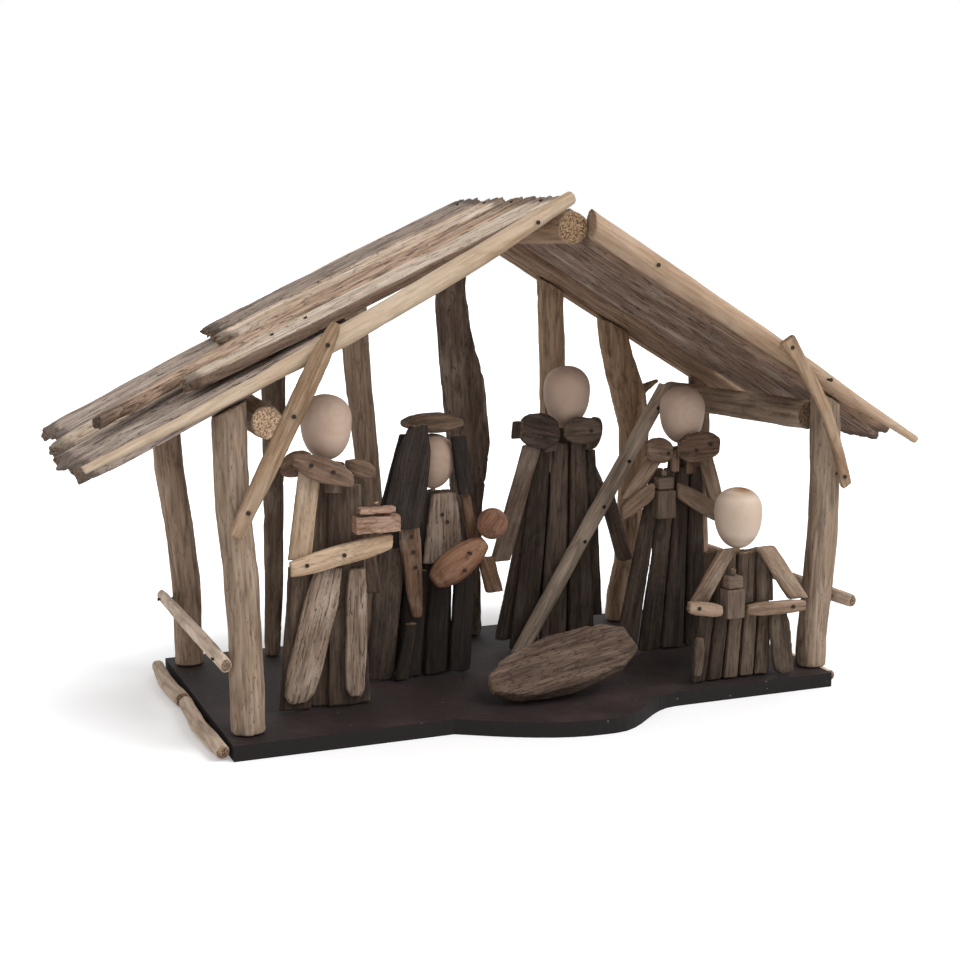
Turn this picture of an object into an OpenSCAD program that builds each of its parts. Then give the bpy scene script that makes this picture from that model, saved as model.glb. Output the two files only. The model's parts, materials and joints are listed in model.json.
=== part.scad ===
// A driftwood stable on a painted board, with stick figures, a baby and a crib.
// The origin is the middle of the board's underside. +X is to the right, +Y to the back, +Z up.

/* [Board] */
// Width of the board
board_w = 380; // [360:1:420]
// Depth of the board without its front bulge
board_d = 195; // [190:1:210]
// Thickness of the board
board_t = 9; // [8:0.5:14]
// How far the front edge bulges out in the middle
bulge_d = 33; // [20:1:40]
// Thickness of the sticks that line the board's right and back edges
edge_stick_d = 8.6; // [6:0.2:8.6]
// Thickness of the two sticks along the board's left edge
left_stick_d = 11; // [8:0.2:13]

/* [Posts] */
// Thickness of the two front posts
front_post_d = 21; // [16:0.5:23]
// Thickness of the back posts
back_post_d = 20; // [16:0.5:22]
// Distance of the front posts' middle line from the board's front edge
front_inset = 20; // [17:0.5:26]
// Distance of the back posts' middle line from the board's back edge
back_inset = 20; // [17:0.5:26]
// Width of the dark back plank at its bulge
plank_w = 41; // [34:0.5:44]
// Thickness of the dark back plank
plank_t = 12; // [9:0.5:16]
// Length of the thorn on the forked branch
thorn_l = 21; // [14:0.5:24]

/* [Roof] */
// Height of the ridge pole's middle line
ridge_h = 284.5; // [270:0.5:300]
// Thickness of the ridge pole
ridge_d = 20; // [16:0.5:24]
// How far the roof reaches past the board on the left
left_overhang = 73; // [60:1:80]
// How far the roof reaches past the board on the right
right_overhang = 58; // [50:1:70]
// Height of the slats' top face at the left eave
left_eave_h = 165; // [158:0.5:172]
// Height of the planks' underside at the right eave
right_eave_h = 146; // [138:0.5:152]
// Thickness of the roof slats
roof_t = 7; // [5:0.25:8]
// Thickness of the slat that lies on the front left post
thick_roof_t = 12; // [9:0.5:13]
// How much shorter the roof is than the board's depth, from its front slat to its back slat
roof_inset = 14; // [9:1:20]
// Thickness of the purlins
purlin_d = 20; // [16:0.5:22]
// Height of the left purlin's front end
left_purlin_h = 181; // [176:0.5:184]
// Height of the right purlin
right_purlin_h = 168; // [160:0.5:169]
// Thickness of the left rafter pole
left_rafter_d = 13; // [10:0.5:15]
// Thickness of the right rafter pole
right_rafter_d = 16; // [12:0.5:18]

/* [Braces and rails] */
// Width of the left brace
left_brace_w = 13; // [9:0.5:16]
// Width of the right brace
right_brace_w = 9; // [7:0.5:12]
// Thickness of both braces
brace_t = 5; // [3.5:0.5:7]
// Height of a side rail's face
rail_w = 11; // [8:0.5:14]
// Thickness of a side rail
rail_t = 8; // [6:0.5:10]
// Height of the side rails above the board
rail_h = 44; // [36:1:60]

/* [Figures] */
// Height of the left standing figure above the board
left_king_h = 183; // [165:1:190]
// Height of the mother above the board
mother_h = 161; // [145:1:168]
// Height of the father above the board
father_h = 187; // [168:1:194]
// Height of the right standing figure above the board
right_king_h = 171; // [155:1:178]
// Height of the kneeling figure above the board
kneeling_king_h = 118.5; // [108:0.5:124]
// Width of a head
head_w = 30; // [26:0.5:32]
// Height of a head
head_h = 38.5; // [34:0.5:41]
// Thickness of a figure's slats
slat_t = 5; // [4:0.25:6]
// Thickness of a figure's core stick
core_t = 8; // [7:0.25:10]
// Thickness of the staff
staff_d = 12; // [8:0.5:14]
// Depth of a gift box
gift_d = 11; // [8:0.5:14]
// Length of the baby's body
baby_l = 43; // [38:1:52]
// Length of the crib
crib_l = 95; // [86:1:108]
// Width of the crib
crib_w = 42; // [34:1:46]
// Depth of the crib's hull
crib_d = 24; // [18:0.5:28]

/* [Fasteners] */
// Thickness of the screws under the board
screw_d = 3.5; // [2.5:0.25:4]
// Length of the screws under the board
screw_l = 24; // [18:1:28]
// Head thickness of the screws under the board
screw_head_d = 7; // [5:0.25:8]
// Thickness of the nails
nail_d = 1.4; // [1:0.1:1.8]
// Head thickness of the nails
nail_head_d = 2.4; // [2:0.1:3]
// Thickness of the neck dowels
dowel_d = 3; // [2.5:0.25:4]
// Length of the neck dowels
dowel_l = 26; // [20:1:30]

/* [Hidden] */

// Clearance between pieces that touch, and around screws, nails and dowels
gap = 0.3;
fit = 0.05;
// Overrun of every cut
over = 1;
// Height of a nail's head, height of a screw's head and how deep it sits inside the board
nail_head_h = 0.6;
screw_head_h = 2;
screw_sink = 0.5;
// Exponents of the sections: 1 is round, less is squarer
round_form = 1;
flat_form = 0.35;

// Unit vector, a section's value on one axis, spread of the rings, and a steady bump
function unit(v) = v / norm(v);
function section_value(s, form) = sign(s) * pow(abs(s), form);
function ring_share(i, rings) = 0.5 - 0.5 * cos(180 * i / (rings - 1));
function bump_share(seed, i, j) = 0.5 + 0.5 * sin(seed * 97 + i * 131 + j * 71);

// Section of a weathered roof slat, in shares of half its width and thickness: long grooves in both faces
grooved_section = [[1, 0.5], [0.93, 0.95], [0.74, 1], [0.63, 0.6], [0.52, 0.98], [0.36, 1], [0.26, 0.55], [0.16, 0.99],
    [-0.17, 1], [-0.28, 0.5], [-0.39, 0.98], [-0.58, 1], [-0.68, 0.56], [-0.78, 0.98], [-0.94, 0.94], [-1, 0.45],
    [-1, -0.5], [-0.93, -0.96], [-0.54, -1], [-0.43, -0.55], [-0.32, -1], [0.24, -1], [0.35, -0.55], [0.46, -1],
    [0.94, -0.95], [1, -0.5]];

// A stick from a to b. A flat one has eight sides and full width at its flats, a round one has
// twelve. Its broad faces look along face, its end cuts look along na and nb. The outline swells
// and sways by its tables, and is rough inwards only.
module stick(a, b, w, t, face = [0, -1, 0], na = undef, nb = undef, form = flat_form, flat = true,
    rough_share = 0.06, rings = 7, seed = 1, width_shares = [[0, 1], [1, 1]],
    side_shares = [[0, 0], [1, 0]], face_shares = [[0, 0], [1, 0]], section = undef) {
    reach = norm(b - a);
    along = (b - a) / reach;
    up = unit(face - (face * along) * along);
    side = cross(along, up);
    cut_a = is_undef(na) ? along : na;
    cut_b = is_undef(nb) ? along : nb;
    sides = is_undef(section) ? (flat ? 8 : 12) : len(section);
    turn = flat ? 22.5 : 0;
    full = flat ? pow(cos(22.5), form) : 1;
    centres = [for (i = [0:rings - 1]) let (u = ring_share(i, rings))
        a + reach * (u * along + lookup(u, side_shares) * side + lookup(u, face_shares) * up)];
    ring_points = [for (i = [0:rings - 1]) for (j = [0:sides - 1]) let (
        u = ring_share(i, rings),
        angle = turn + 360 / sides * j,
        size_share = lookup(u, width_shares) * (1 - rough_share * bump_share(seed, i, is_undef(section) ? j : 0)),
        x = w / 2 * size_share * (is_undef(section) ? section_value(cos(angle), form) / full : section[j][0]),
        y = t / 2 * (is_undef(section) ? (flat ? 1 : size_share) * section_value(sin(angle), form) / full : section[j][1]),
        v = x * side + y * up,
        slide = (v * cut_a) / (along * cut_a) * max(0, 1 - 2.5 * u)
            + (v * cut_b) / (along * cut_b) * max(0, 2.5 * u - 1.5))
        centres[i] + v - slide * along];
    last = sides * (rings - 1);
    caps = [sides * rings, sides * rings + 1];
    polyhedron(
        points = concat(ring_points, [centres[0], centres[rings - 1]]),
        faces = concat(
            [for (i = [0:rings - 2]) for (j = [0:sides - 1]) let (k = (j + 1) % sides)
                [sides * i + j, sides * i + k, sides * (i + 1) + k]],
            [for (i = [0:rings - 2]) for (j = [0:sides - 1]) let (k = (j + 1) % sides)
                [sides * i + j, sides * (i + 1) + k, sides * (i + 1) + j]],
            [for (j = [0:sides - 1]) [caps[0], (j + 1) % sides, j]],
            [for (j = [0:sides - 1]) [caps[1], last + j, last + (j + 1) % sides]]));
}

// A round pole
module pole(a, b, d, na = undef, nb = undef, rough_share = 0.05, rings = 9, seed = 1,
    width_shares = [[0, 1], [1, 1]], side_shares = [[0, 0], [1, 0]], face = [0, -1, 0]) {
    stick(a, b, d, d, face, na, nb, round_form, false, rough_share, rings, seed, width_shares, side_shares);
}

// Turns +Z to the direction v
module aim(p, v) {
    translate(p)
        rotate([0, acos(v[2] / norm(v)), atan2(v[1], v[0])])
            children();
}

// A nail is [seat of its head, direction that its head looks in, length of its shank]
module nail(n) {
    aim(n[0], n[1]) {
        cylinder(d = nail_head_d, h = nail_head_h, $fn = 16);
        translate([0, 0, -n[2]])
            cylinder(d = nail_d, h = n[2] + nail_head_h / 2, $fn = 16);
    }
}

module nail_bores(nails) {
    for (n = nails)
        aim(n[0], n[1])
            translate([0, 0, -n[2] - gap])
                cylinder(d = nail_d + 2 * fit, h = n[2] + gap + over, $fn = 16);
}

// Screws stand upright under the board: the bore goes through the board and into the foot
screw_top = screw_sink + screw_l;

module screw(p) {
    translate([p[0], p[1], screw_sink])
        cylinder(d = screw_head_d, h = screw_head_h, $fn = 24);
    translate([p[0], p[1], screw_sink + screw_head_h / 2])
        cylinder(d = screw_d, h = screw_l - screw_head_h / 2, $fn = 24);
}

module screw_bore(p) {
    translate([p[0], p[1], -over])
        cylinder(d = screw_d + 2 * fit, h = screw_top + over + gap, $fn = 24);
}

// Places of the posts, as shares of the board's width
front_y = -board_d / 2 + front_inset;
back_y = board_d / 2 - back_inset;
front_left_x = -0.466 * board_w;
front_right_x = 0.492 * board_w;
back_left_x = -0.469 * board_w;
back_second_x = -0.326 * board_w;
back_third_x = -0.147 * board_w;
plank_x = 0.04 * board_w;
back_fifth_x = 0.205 * board_w;
branch_x = 0.333 * board_w;
back_right_x = 0.5 * board_w;
right_screw_shift = 0.27 * back_post_d;
second_post_d = 0.9 * back_post_d;
branch_d = 1.1 * back_post_d;
right_post_d = 0.85 * back_post_d;

// Sway of each post to the right, along its length, as shares of its length
front_left_sway_shares = [[0, 0], [0.25, 0], [0.48, -0.008], [0.72, -0.03], [1, -0.032]];
front_right_sway_shares = [[0, 0], [0.1, 0], [0.26, 0.02], [0.41, 0.033], [0.63, 0.043], [1, 0.034]];
back_left_sway_shares = [[0, 0], [0.27, 0], [0.4, -0.011], [0.61, -0.035], [0.75, -0.055], [1, -0.057]];
back_second_sway_shares = [[0, 0], [0.16, 0.009], [0.62, 0.02], [1, 0.027]];
back_third_sway_shares = [[0, 0], [0.34, 0.01], [0.6, -0.012], [0.71, -0.025], [0.82, -0.033], [1, -0.038]];
plank_sway_shares = [[0, 0], [0.17, -0.007], [0.36, -0.008], [0.51, 0], [0.59, 0.007], [0.66, -0.017],
    [0.74, -0.036], [0.82, -0.043], [0.92, -0.05], [1, -0.038]];
back_fifth_sway_shares = [[0, 0], [0.73, -0.004], [0.97, -0.013], [1, -0.013]];
branch_sway_shares = [[0, 0], [0.07, 0.007], [0.23, 0.046], [0.59, 0.06], [0.69, 0.065], [0.8, 0.03],
    [0.95, -0.015], [1, -0.02]];
back_right_sway_shares = [[0, 0], [0.27, 0.01], [0.63, 0.013], [1, 0.004]];

// The ridge, the slopes and their undersides. The left slope lies on top of the ridge pole.
ridge_x = 0.03 * board_w;
ridge_r = ridge_d / 2;
left_end_x = -board_w / 2 - left_overhang;
right_end_x = board_w / 2 + right_overhang;
left_slope = 0.967 * (ridge_h + ridge_r - left_eave_h) / (ridge_x - left_end_x);
left_angle = atan(left_slope);
function upper_left_z(x) = ridge_h + (ridge_r + gap) / cos(left_angle) + left_slope * (x - ridge_x);
// The lower course ends under the upper one, at lap_x, and slopes a little more
lap_x = -0.29 * board_w;
eave_slope = (upper_left_z(lap_x) - gap / cos(left_angle) - left_eave_h) / (lap_x - left_end_x);
eave_angle = atan(eave_slope);
function eave_top_z(x) = left_eave_h + eave_slope * (x - left_end_x);
function eave_under_z(x, t) = eave_top_z(x) - t / cos(eave_angle);
// The right slope's planks butt against the ridge pole's side
right_slope = (ridge_h + 0.18 * ridge_d - right_eave_h) / (right_end_x - ridge_x);
right_angle = atan(right_slope);
front_rise = 0.14 * roof_t;
back_drop = 0.43 * roof_t;
function right_under_z(x) = right_eave_h + right_slope * (right_end_x - x);

roof_d = board_d - roof_inset;
roof_front_y = -0.486 * roof_d;
roof_back_y = roof_front_y + roof_d;

// Middle line of a swaying post at a height, and the tops of the posts
function post_x(x, top, sway_shares, z) = x + (top - board_t - gap) * lookup((z - board_t - gap) / (top - board_t - gap), sway_shares);
front_left_top = eave_under_z(front_left_x - 0.015 * board_w, thick_roof_t) - gap / cos(eave_angle);
front_right_top = right_under_z(front_right_x + 0.015 * board_w) + front_rise - gap / cos(right_angle);
back_left_top = eave_under_z(back_left_x - 0.028 * board_w, roof_t) - gap / cos(eave_angle);
back_second_top = eave_under_z(back_second_x + 0.016 * board_w, roof_t) - gap / cos(eave_angle);
back_third_top = upper_left_z(back_third_x - 0.025 * board_w) - gap / cos(left_angle);
plank_top = ridge_h - ridge_r - gap;
back_fifth_top = right_under_z(back_fifth_x - 0.008 * board_w) - back_drop - gap / cos(right_angle);
branch_top = right_under_z(branch_x - 0.01 * board_w) - back_drop - gap / cos(right_angle);
back_right_top = right_under_z(back_right_x + 0.002 * board_w) - back_drop - gap / cos(right_angle);
left_cut = [-sin(eave_angle), 0, cos(eave_angle)];
upper_cut = [-sin(left_angle), 0, cos(left_angle)];
right_cut = [sin(right_angle), 0, cos(right_angle)];

// Base
module base_board() {
    left_shares = [for (i = [0:8]) [-0.165 + 0.0265 * i, sin(90 * i / 8)]];
    right_shares = [for (i = [0:8]) [0.063 + 0.0184 * i, 0.5 + 0.5 * cos(180 * i / 8)]];
    color("#43302f")
        difference() {
            linear_extrude(board_t)
                polygon(concat(
                    [[board_w / 2, -board_d / 2], [board_w / 2, board_d / 2], [-board_w / 2, board_d / 2],
                        [-board_w / 2, -board_d / 2]],
                    [for (s = left_shares) [s[0] * board_w, -board_d / 2 - s[1] * bulge_d]],
                    [for (s = right_shares) [s[0] * board_w, -board_d / 2 - s[1] * bulge_d]]));
            for (p = screw_places) {
                screw_bore(p);
                translate([p[0], p[1], -over])
                    cylinder(d = screw_head_d + 2 * fit, h = over + screw_sink + screw_head_h + fit, $fn = 24);
            }
        }
}

module edge_sticks() {
    x = board_w / 2 + edge_stick_d / 2 + gap;
    left_x = board_w / 2 + left_stick_d / 2 + gap;
    y = board_d / 2 + edge_stick_d / 2 + gap;
    z = edge_stick_d / 2;
    left_z = left_stick_d / 2;
    color("#b7a48c") {
        pole([-left_x, 0.045 * board_d, left_z], [-left_x, 0.49 * board_d, left_z], left_stick_d, seed = 3,
            face = [0, 0, 1], width_shares = [[0, 1], [0.6, 0.96], [1, 0.8]],
            side_shares = [[0, 0], [0.45, -0.03], [1, 0.005]]);
        pole([-left_x, -0.49 * board_d, left_z], [-left_x, 0.03 * board_d, left_z], left_stick_d, seed = 4,
            face = [0, 0, 1], width_shares = [[0, 0.85], [0.3, 1], [1, 0.9]],
            side_shares = [[0, 0.007], [0.5, -0.02], [1, 0.004]]);
        pole([x, -0.46 * board_d, z], [x, 0.49 * board_d, z], edge_stick_d, seed = 5, face = [0, 0, 1]);
        pole([-0.47 * board_w, y, z], [0.48 * board_w, y, z], edge_stick_d, seed = 6);
    }
}

// A post that stands on the board, is screwed to it from below and has a slanted top
module post(x, y, top, d, cut, sway_shares, width_shares = [[0, 1], [1, 1]], seed = 1, rings = 9, t = undef,
    screw_shift = 0) {
    difference() {
        stick([x, y, board_t + gap], [x, y, top], d, is_undef(t) ? d : t, na = [0, 0, 1], nb = cut,
            form = is_undef(t) ? round_form : flat_form, flat = !is_undef(t), rough_share = 0.05, rings = rings,
            seed = seed, width_shares = width_shares, side_shares = concat(
                [for (s = sway_shares) s]));
        screw_bore([x - screw_shift, y]);
    }
}

module front_left_post() {
    color("#a08f80")
        difference() {
            post(front_left_x, front_y, front_left_top, front_post_d, left_cut, front_left_sway_shares, seed = 11);
            nail_bores(concat(left_brace_nails, left_rail_nails));
        }
}

module front_right_post() {
    color("#9a8a7b")
        difference() {
            post(front_right_x, front_y, front_right_top, front_post_d, right_cut, front_right_sway_shares, seed = 12,
                screw_shift = right_screw_shift);
            nail_bores(concat(right_brace_nails, right_rail_nails));
        }
}

module back_left_post() {
    color("#948475")
        difference() {
            post(back_left_x, back_y, back_left_top, back_post_d, left_cut, back_left_sway_shares, seed = 13);
            nail_bores(left_rail_nails);
        }
}

module back_second_post() {
    color("#94867a")
        post(back_second_x, back_y, back_second_top, second_post_d, left_cut, back_second_sway_shares,
            [[0, 0.67], [0.2, 0.78], [0.62, 0.89], [0.83, 1], [1, 1]], seed = 14);
}

module back_third_post() {
    color("#8c7f73")
        post(back_third_x, back_y, back_third_top, back_post_d, upper_cut, back_third_sway_shares,
            [[0, 0.87], [0.34, 0.93], [0.6, 0.85], [0.7, 0.97], [1, 1]], seed = 15);
}

module back_plank() {
    color("#54483f")
        post(plank_x, back_y, plank_top, plank_w, [0, 0, 1], plank_sway_shares,
            [[0, 0.38], [0.17, 0.46], [0.36, 0.56], [0.51, 0.78], [0.59, 1], [0.66, 0.76], [0.74, 0.61],
                [0.82, 0.56], [1, 0.53]], seed = 16, rings = 11, t = plank_t);
}

module back_fifth_post() {
    color("#7d7065")
        post(back_fifth_x, back_y, back_fifth_top, back_post_d, right_cut, back_fifth_sway_shares, seed = 17);
}

module forked_branch() {
    x = branch_x + 0.06 * branch_top;
    z = 0.78 * branch_top;
    color("#86796d")
        union() {
            post(branch_x, back_y, branch_top, branch_d, right_cut, branch_sway_shares,
                [[0, 0.77], [0.07, 0.86], [0.23, 0.95], [0.52, 0.9], [0.69, 1.15], [0.8, 1.3], [0.9, 1.25], [1, 1.1]],
                seed = 18, rings = 11);
            pole([x, back_y, z], [x + 0.9 * thorn_l, back_y, z + 0.44 * thorn_l], 0.5 * branch_d, rings = 5, seed = 19,
                width_shares = [[0, 1], [1, 0.3]]);
        }
}

module back_right_post() {
    color("#8a7d71")
        difference() {
            post(back_right_x, back_y, back_right_top, right_post_d, right_cut, back_right_sway_shares, seed = 20,
                screw_shift = right_screw_shift);
            nail_bores(right_rail_nails);
        }
}

// Roof frame
module ridge_pole() {
    color("#b39c80")
        difference() {
            pole([ridge_x, roof_front_y - 0.35 * ridge_d, ridge_h], [ridge_x, roof_back_y, ridge_h], ridge_d,
                rough_share = 0.03, rings = 11, seed = 21, face = [0, 0, 1]);
            nail_bores(ridge_nails);
        }
}

post_gap = gap + purlin_d / 2;
left_purlin_x = post_x(front_left_x, front_left_top, front_left_sway_shares, left_purlin_h) + front_post_d / 2 + post_gap;
left_purlin_back_x = post_x(back_left_x, back_left_top, back_left_sway_shares, left_purlin_h) + back_post_d / 2 + post_gap;
left_purlin_back_h = eave_under_z(left_purlin_back_x, roof_t) - post_gap / cos(eave_angle);
right_purlin_back_x = post_x(back_right_x, back_right_top, back_right_sway_shares, right_purlin_h) - right_post_d / 2 - post_gap
    - 0.06 * purlin_d;

module left_purlin() {
    color("#a8967f")
        pole([left_purlin_x, front_y, left_purlin_h], [left_purlin_back_x, roof_back_y - 0.05 * roof_d, left_purlin_back_h],
            purlin_d, seed = 22, face = [0, 0, 1]);
}

module right_purlin() {
    color("#9c8b78")
        pole([front_right_x + 0.004 * board_w, front_y + front_post_d / 2 + gap, right_purlin_h],
            [right_purlin_back_x, roof_back_y - 0.05 * roof_d, right_purlin_h], purlin_d, seed = 23, face = [0, 0, 1]);
}

left_rafter_y = roof_front_y - gap - left_rafter_d / 2;
right_rafter_y = roof_front_y - gap - right_rafter_d / 2;
left_rafter_a = [left_end_x, left_rafter_y, left_eave_h - 0.15 * left_rafter_d];
left_rafter_b = [ridge_x, left_rafter_y, ridge_h + ridge_r + gap + 0.55 * left_rafter_d];
right_rafter_slope = 0.988 * right_slope;
right_rafter_x = ridge_x + ridge_r + gap;
right_rafter_b = [right_end_x, right_rafter_y, right_eave_h + 0.4 * right_rafter_d];
right_rafter_a = [right_rafter_x, right_rafter_y, right_rafter_b[2] + right_rafter_slope * (right_end_x - right_rafter_x)];
function left_rafter_z(x) = left_rafter_a[2] + (left_rafter_b[2] - left_rafter_a[2]) * (x - left_end_x) / (ridge_x - left_end_x)
    - 0.38 * left_rafter_d;
function right_rafter_z(x) = right_rafter_b[2] + right_rafter_slope * (right_end_x - x);

module left_rafter_pole() {
    color("#cdb99a")
        difference() {
            pole(left_rafter_a, left_rafter_b, left_rafter_d, seed = 24, rings = 11,
                width_shares = [[0, 0.42], [0.4, 0.73], [0.5, 1], [0.8, 1], [1, 0.68]],
                side_shares = [[0, 0], [0.25, 0.013], [0.5, 0.017], [0.75, 0.013], [1, 0]]);
            nail_bores(concat(left_brace_nails, rafter_nails));
        }
}

module right_rafter_pole() {
    color("#c2ab8a")
        difference() {
            pole(right_rafter_a, right_rafter_b, right_rafter_d, na = [1, 0, 0], seed = 25, rings = 11,
                width_shares = [[0, 1], [0.3, 0.88], [0.6, 0.8], [0.78, 0.5], [1, 0.38]]);
            nail_bores(concat(right_brace_nails, rafter_nails));
        }
}

// Braces and rails. Their nails look along their broad faces.
function brace_up(a, b) = unit([0, -1, 0] - ([0, -1, 0] * unit(b - a)) * unit(b - a));
function brace_nail(a, b, u, depth) = [a + (b - a) * u + brace_up(a, b) * brace_t / 2, brace_up(a, b), depth];
left_brace_top_x = -0.343 * board_w;
left_brace_a = [left_brace_top_x, left_rafter_y - left_rafter_d / 2 - gap - 0.85 * brace_t,
    left_rafter_z(left_brace_top_x) + 0.8 * left_rafter_d];
left_brace_b = [front_left_x - 0.019 * board_w, front_y - front_post_d / 2 - gap - brace_t / 2, 0.64 * front_left_top];
right_brace_top_x = 0.376 * board_w;
right_brace_a = [right_brace_top_x, right_rafter_y - 0.45 * right_rafter_d - gap - 1.3 * brace_t,
    right_rafter_z(right_brace_top_x) + 0.3 * right_rafter_d];
right_brace_b = [0.529 * board_w, front_y - front_post_d / 2 - gap - brace_t / 2, 0.7 * front_right_top];
left_brace_nails = [
    brace_nail(left_brace_a, left_brace_b, 0.1, brace_t + gap + 0.6 * left_rafter_d),
    brace_nail(left_brace_a, left_brace_b, 0.43, 0.8 * brace_t),
    brace_nail(left_brace_a, left_brace_b, 0.88, brace_t + gap + 0.6 * front_post_d)];
right_brace_nails = [
    brace_nail(right_brace_a, right_brace_b, 0.05, brace_t + gap + 0.5 * right_rafter_d),
    brace_nail(right_brace_a, right_brace_b, 0.93, brace_t + gap + 0.5 * front_post_d)];

module left_brace() {
    color("#bfae95")
        difference() {
            stick(left_brace_a, left_brace_b, left_brace_w, brace_t, seed = 31, rings = 9,
                width_shares = [[0, 0.35], [0.05, 0.72], [0.2, 1], [0.7, 0.92], [1, 0.7]]);
            nail_bores(left_brace_nails);
        }
}

module right_brace() {
    color("#b5a288")
        difference() {
            stick(right_brace_a, right_brace_b, right_brace_w, brace_t, seed = 32, rings = 9,
                width_shares = [[0, 1.3], [0.12, 1], [0.6, 0.9], [1, 0.9]],
                side_shares = [[0, 0], [0.25, -0.038], [0.5, -0.055], [0.75, -0.038], [1, 0]]);
            nail_bores(right_brace_nails);
        }
}

rail_z = board_t + rail_h;
function rail_x(a, b, y) = a[0] + (b[0] - a[0]) * (y - a[1]) / (b[1] - a[1]);
left_rail_a = [post_x(front_left_x, front_left_top, front_left_sway_shares, rail_z) - front_post_d / 2 - gap - rail_t / 2,
    -0.487 * board_d, rail_z];
left_rail_b = [post_x(back_left_x, back_left_top, back_left_sway_shares, rail_z) - back_post_d / 2 - gap - rail_t / 2,
    0.465 * board_d, rail_z];
right_rail_a = [post_x(front_right_x, front_right_top, front_right_sway_shares, rail_z) + front_post_d / 2 + gap + rail_t / 2,
    -0.495 * board_d, rail_z];
right_rail_b = [post_x(back_right_x, back_right_top, back_right_sway_shares, rail_z) + right_post_d / 2 + gap + rail_t / 2,
    0.465 * board_d, rail_z];
left_rail_nails = [
    [[rail_x(left_rail_a, left_rail_b, front_y) - rail_t / 2, front_y, rail_z], [-1, 0, 0], rail_t + gap + 0.4 * front_post_d],
    [[rail_x(left_rail_a, left_rail_b, back_y) - rail_t / 2, back_y, rail_z], [-1, 0, 0], rail_t + gap + 0.4 * back_post_d]];
right_rail_nails = [
    [[rail_x(right_rail_a, right_rail_b, front_y) + rail_t / 2, front_y, rail_z], [1, 0, 0], rail_t + gap + 0.4 * front_post_d],
    [[rail_x(right_rail_a, right_rail_b, back_y) + rail_t / 2, back_y, rail_z], [1, 0, 0], rail_t + gap + 0.4 * right_post_d]];

module left_side_rail() {
    color("#a39584")
        difference() {
            stick(left_rail_a, left_rail_b, rail_w, rail_t, face = [-1, 0, 0], form = round_form, flat = false, seed = 33,
                width_shares = [[0, 0.92], [0.3, 1], [0.8, 0.95], [1, 0.8]]);
            nail_bores(left_rail_nails);
        }
}

module right_side_rail() {
    color("#a39584")
        difference() {
            stick(right_rail_a, right_rail_b, rail_w, rail_t, face = [1, 0, 0], form = round_form, flat = false, seed = 34,
                width_shares = [[0, 0.9], [0.2, 1], [1, 0.9]]);
            nail_bores(right_rail_nails);
        }
}

// Roof slats. Each lies between two shares of the roof's depth, from its lower to its upper end.
function roof_y(share) = roof_front_y + roof_d * share;
left_up = [-sin(left_angle), 0, cos(left_angle)];
eave_up = [-sin(eave_angle), 0, cos(eave_angle)];
right_up = [sin(right_angle), 0, cos(right_angle)];
right_down = [cos(right_angle), 0, -sin(right_angle)];
ridge_centre = [ridge_x, 0, ridge_h];
ridge_nails = [for (share = [0.12, 0.36, 0.6, 0.86])
    [[ridge_x, roof_y(share), ridge_h] + left_up * (ridge_r + gap + roof_t), left_up, roof_t + gap + 0.6 * ridge_r]];
lap_nails = [for (share = [-0.4, -0.35])
    [[share * board_w, roof_y(0.13), upper_left_z(share * board_w)] + left_up * roof_t, left_up, 2 * roof_t]];
left_rafter_nail_x = ridge_x - 1.2 * ridge_d;
rafter_nails = concat(
    [[[left_rafter_nail_x, left_rafter_y - 0.45 * left_rafter_d, left_rafter_z(left_rafter_nail_x) + 0.2 * left_rafter_d],
        [0, -1, 0], 1.4 * left_rafter_d]],
    [for (share = [0.16, 0.47]) [[share * board_w, right_rafter_y - 0.47 * right_rafter_d, right_rafter_z(share * board_w)],
        [0, -1, 0], 1.3 * right_rafter_d]]);

module eave_slat(front_share, back_share, t, tip_share, seed, tip_width_share = 0.9) {
    y = roof_y((front_share + back_share) / 2);
    x = left_end_x * tip_share;
    stick([x, y, eave_under_z(x, t)] + eave_up * t / 2, [lap_x, y, eave_under_z(lap_x, t)] + eave_up * t / 2,
        roof_d * (back_share - front_share), t, face = eave_up, seed = seed, section = grooved_section,
        width_shares = [[0, tip_width_share - 0.25], [0.05, tip_width_share - 0.05], [0.3, 1], [1, 0.97]]);
}

upper_widths = [[0, 0.5], [0.05, 0.75], [0.2, 0.95], [0.5, 1], [0.8, 1], [1, 0.92]];
// The second slat is long: it narrows past the front one's tip and swings forward there
second_widths = [[0, 0.34], [0.05, 0.44], [0.2, 0.55], [0.4, 0.86], [0.55, 1], [1, 0.95]];
second_sway_shares = [[0, 0.075], [0.1, 0.055], [0.2, 0.02], [0.4, 0], [1, 0]];

module upper_slat(front_share, back_share, tip_share, seed, widths = upper_widths, sway_shares = [[0, 0], [1, 0]]) {
    y = roof_y((front_share + back_share) / 2);
    x = left_end_x * tip_share;
    end = ridge_x + 0.33 * ridge_d;
    stick([x, y, upper_left_z(x)] + left_up * roof_t / 2, [end, y, upper_left_z(end)] + left_up * roof_t / 2,
        roof_d * (back_share - front_share), roof_t, face = left_up, seed = seed, section = grooved_section,
        rings = 9, width_shares = widths, side_shares = sway_shares);
}

module right_slat(front_share, back_share, end_share, rise, seed) {
    y = roof_y((front_share + back_share) / 2);
    level = (0.18 * ridge_d + rise) * cos(right_angle);
    start = sqrt(pow(ridge_r + gap, 2) - level * level);
    finish = (right_end_x * end_share - ridge_x - right_up[0] * level) / cos(right_angle);
    base = [ridge_x, y, ridge_h] + right_up * (level + roof_t / 2);
    stick(base + right_down * start, base + right_down * finish, roof_d * (back_share - front_share), roof_t,
        face = right_up, seed = seed, section = grooved_section,
        width_shares = [[0, 0.96], [0.7, 1], [0.94, 0.94], [1, 0.72]]);
}

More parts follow.
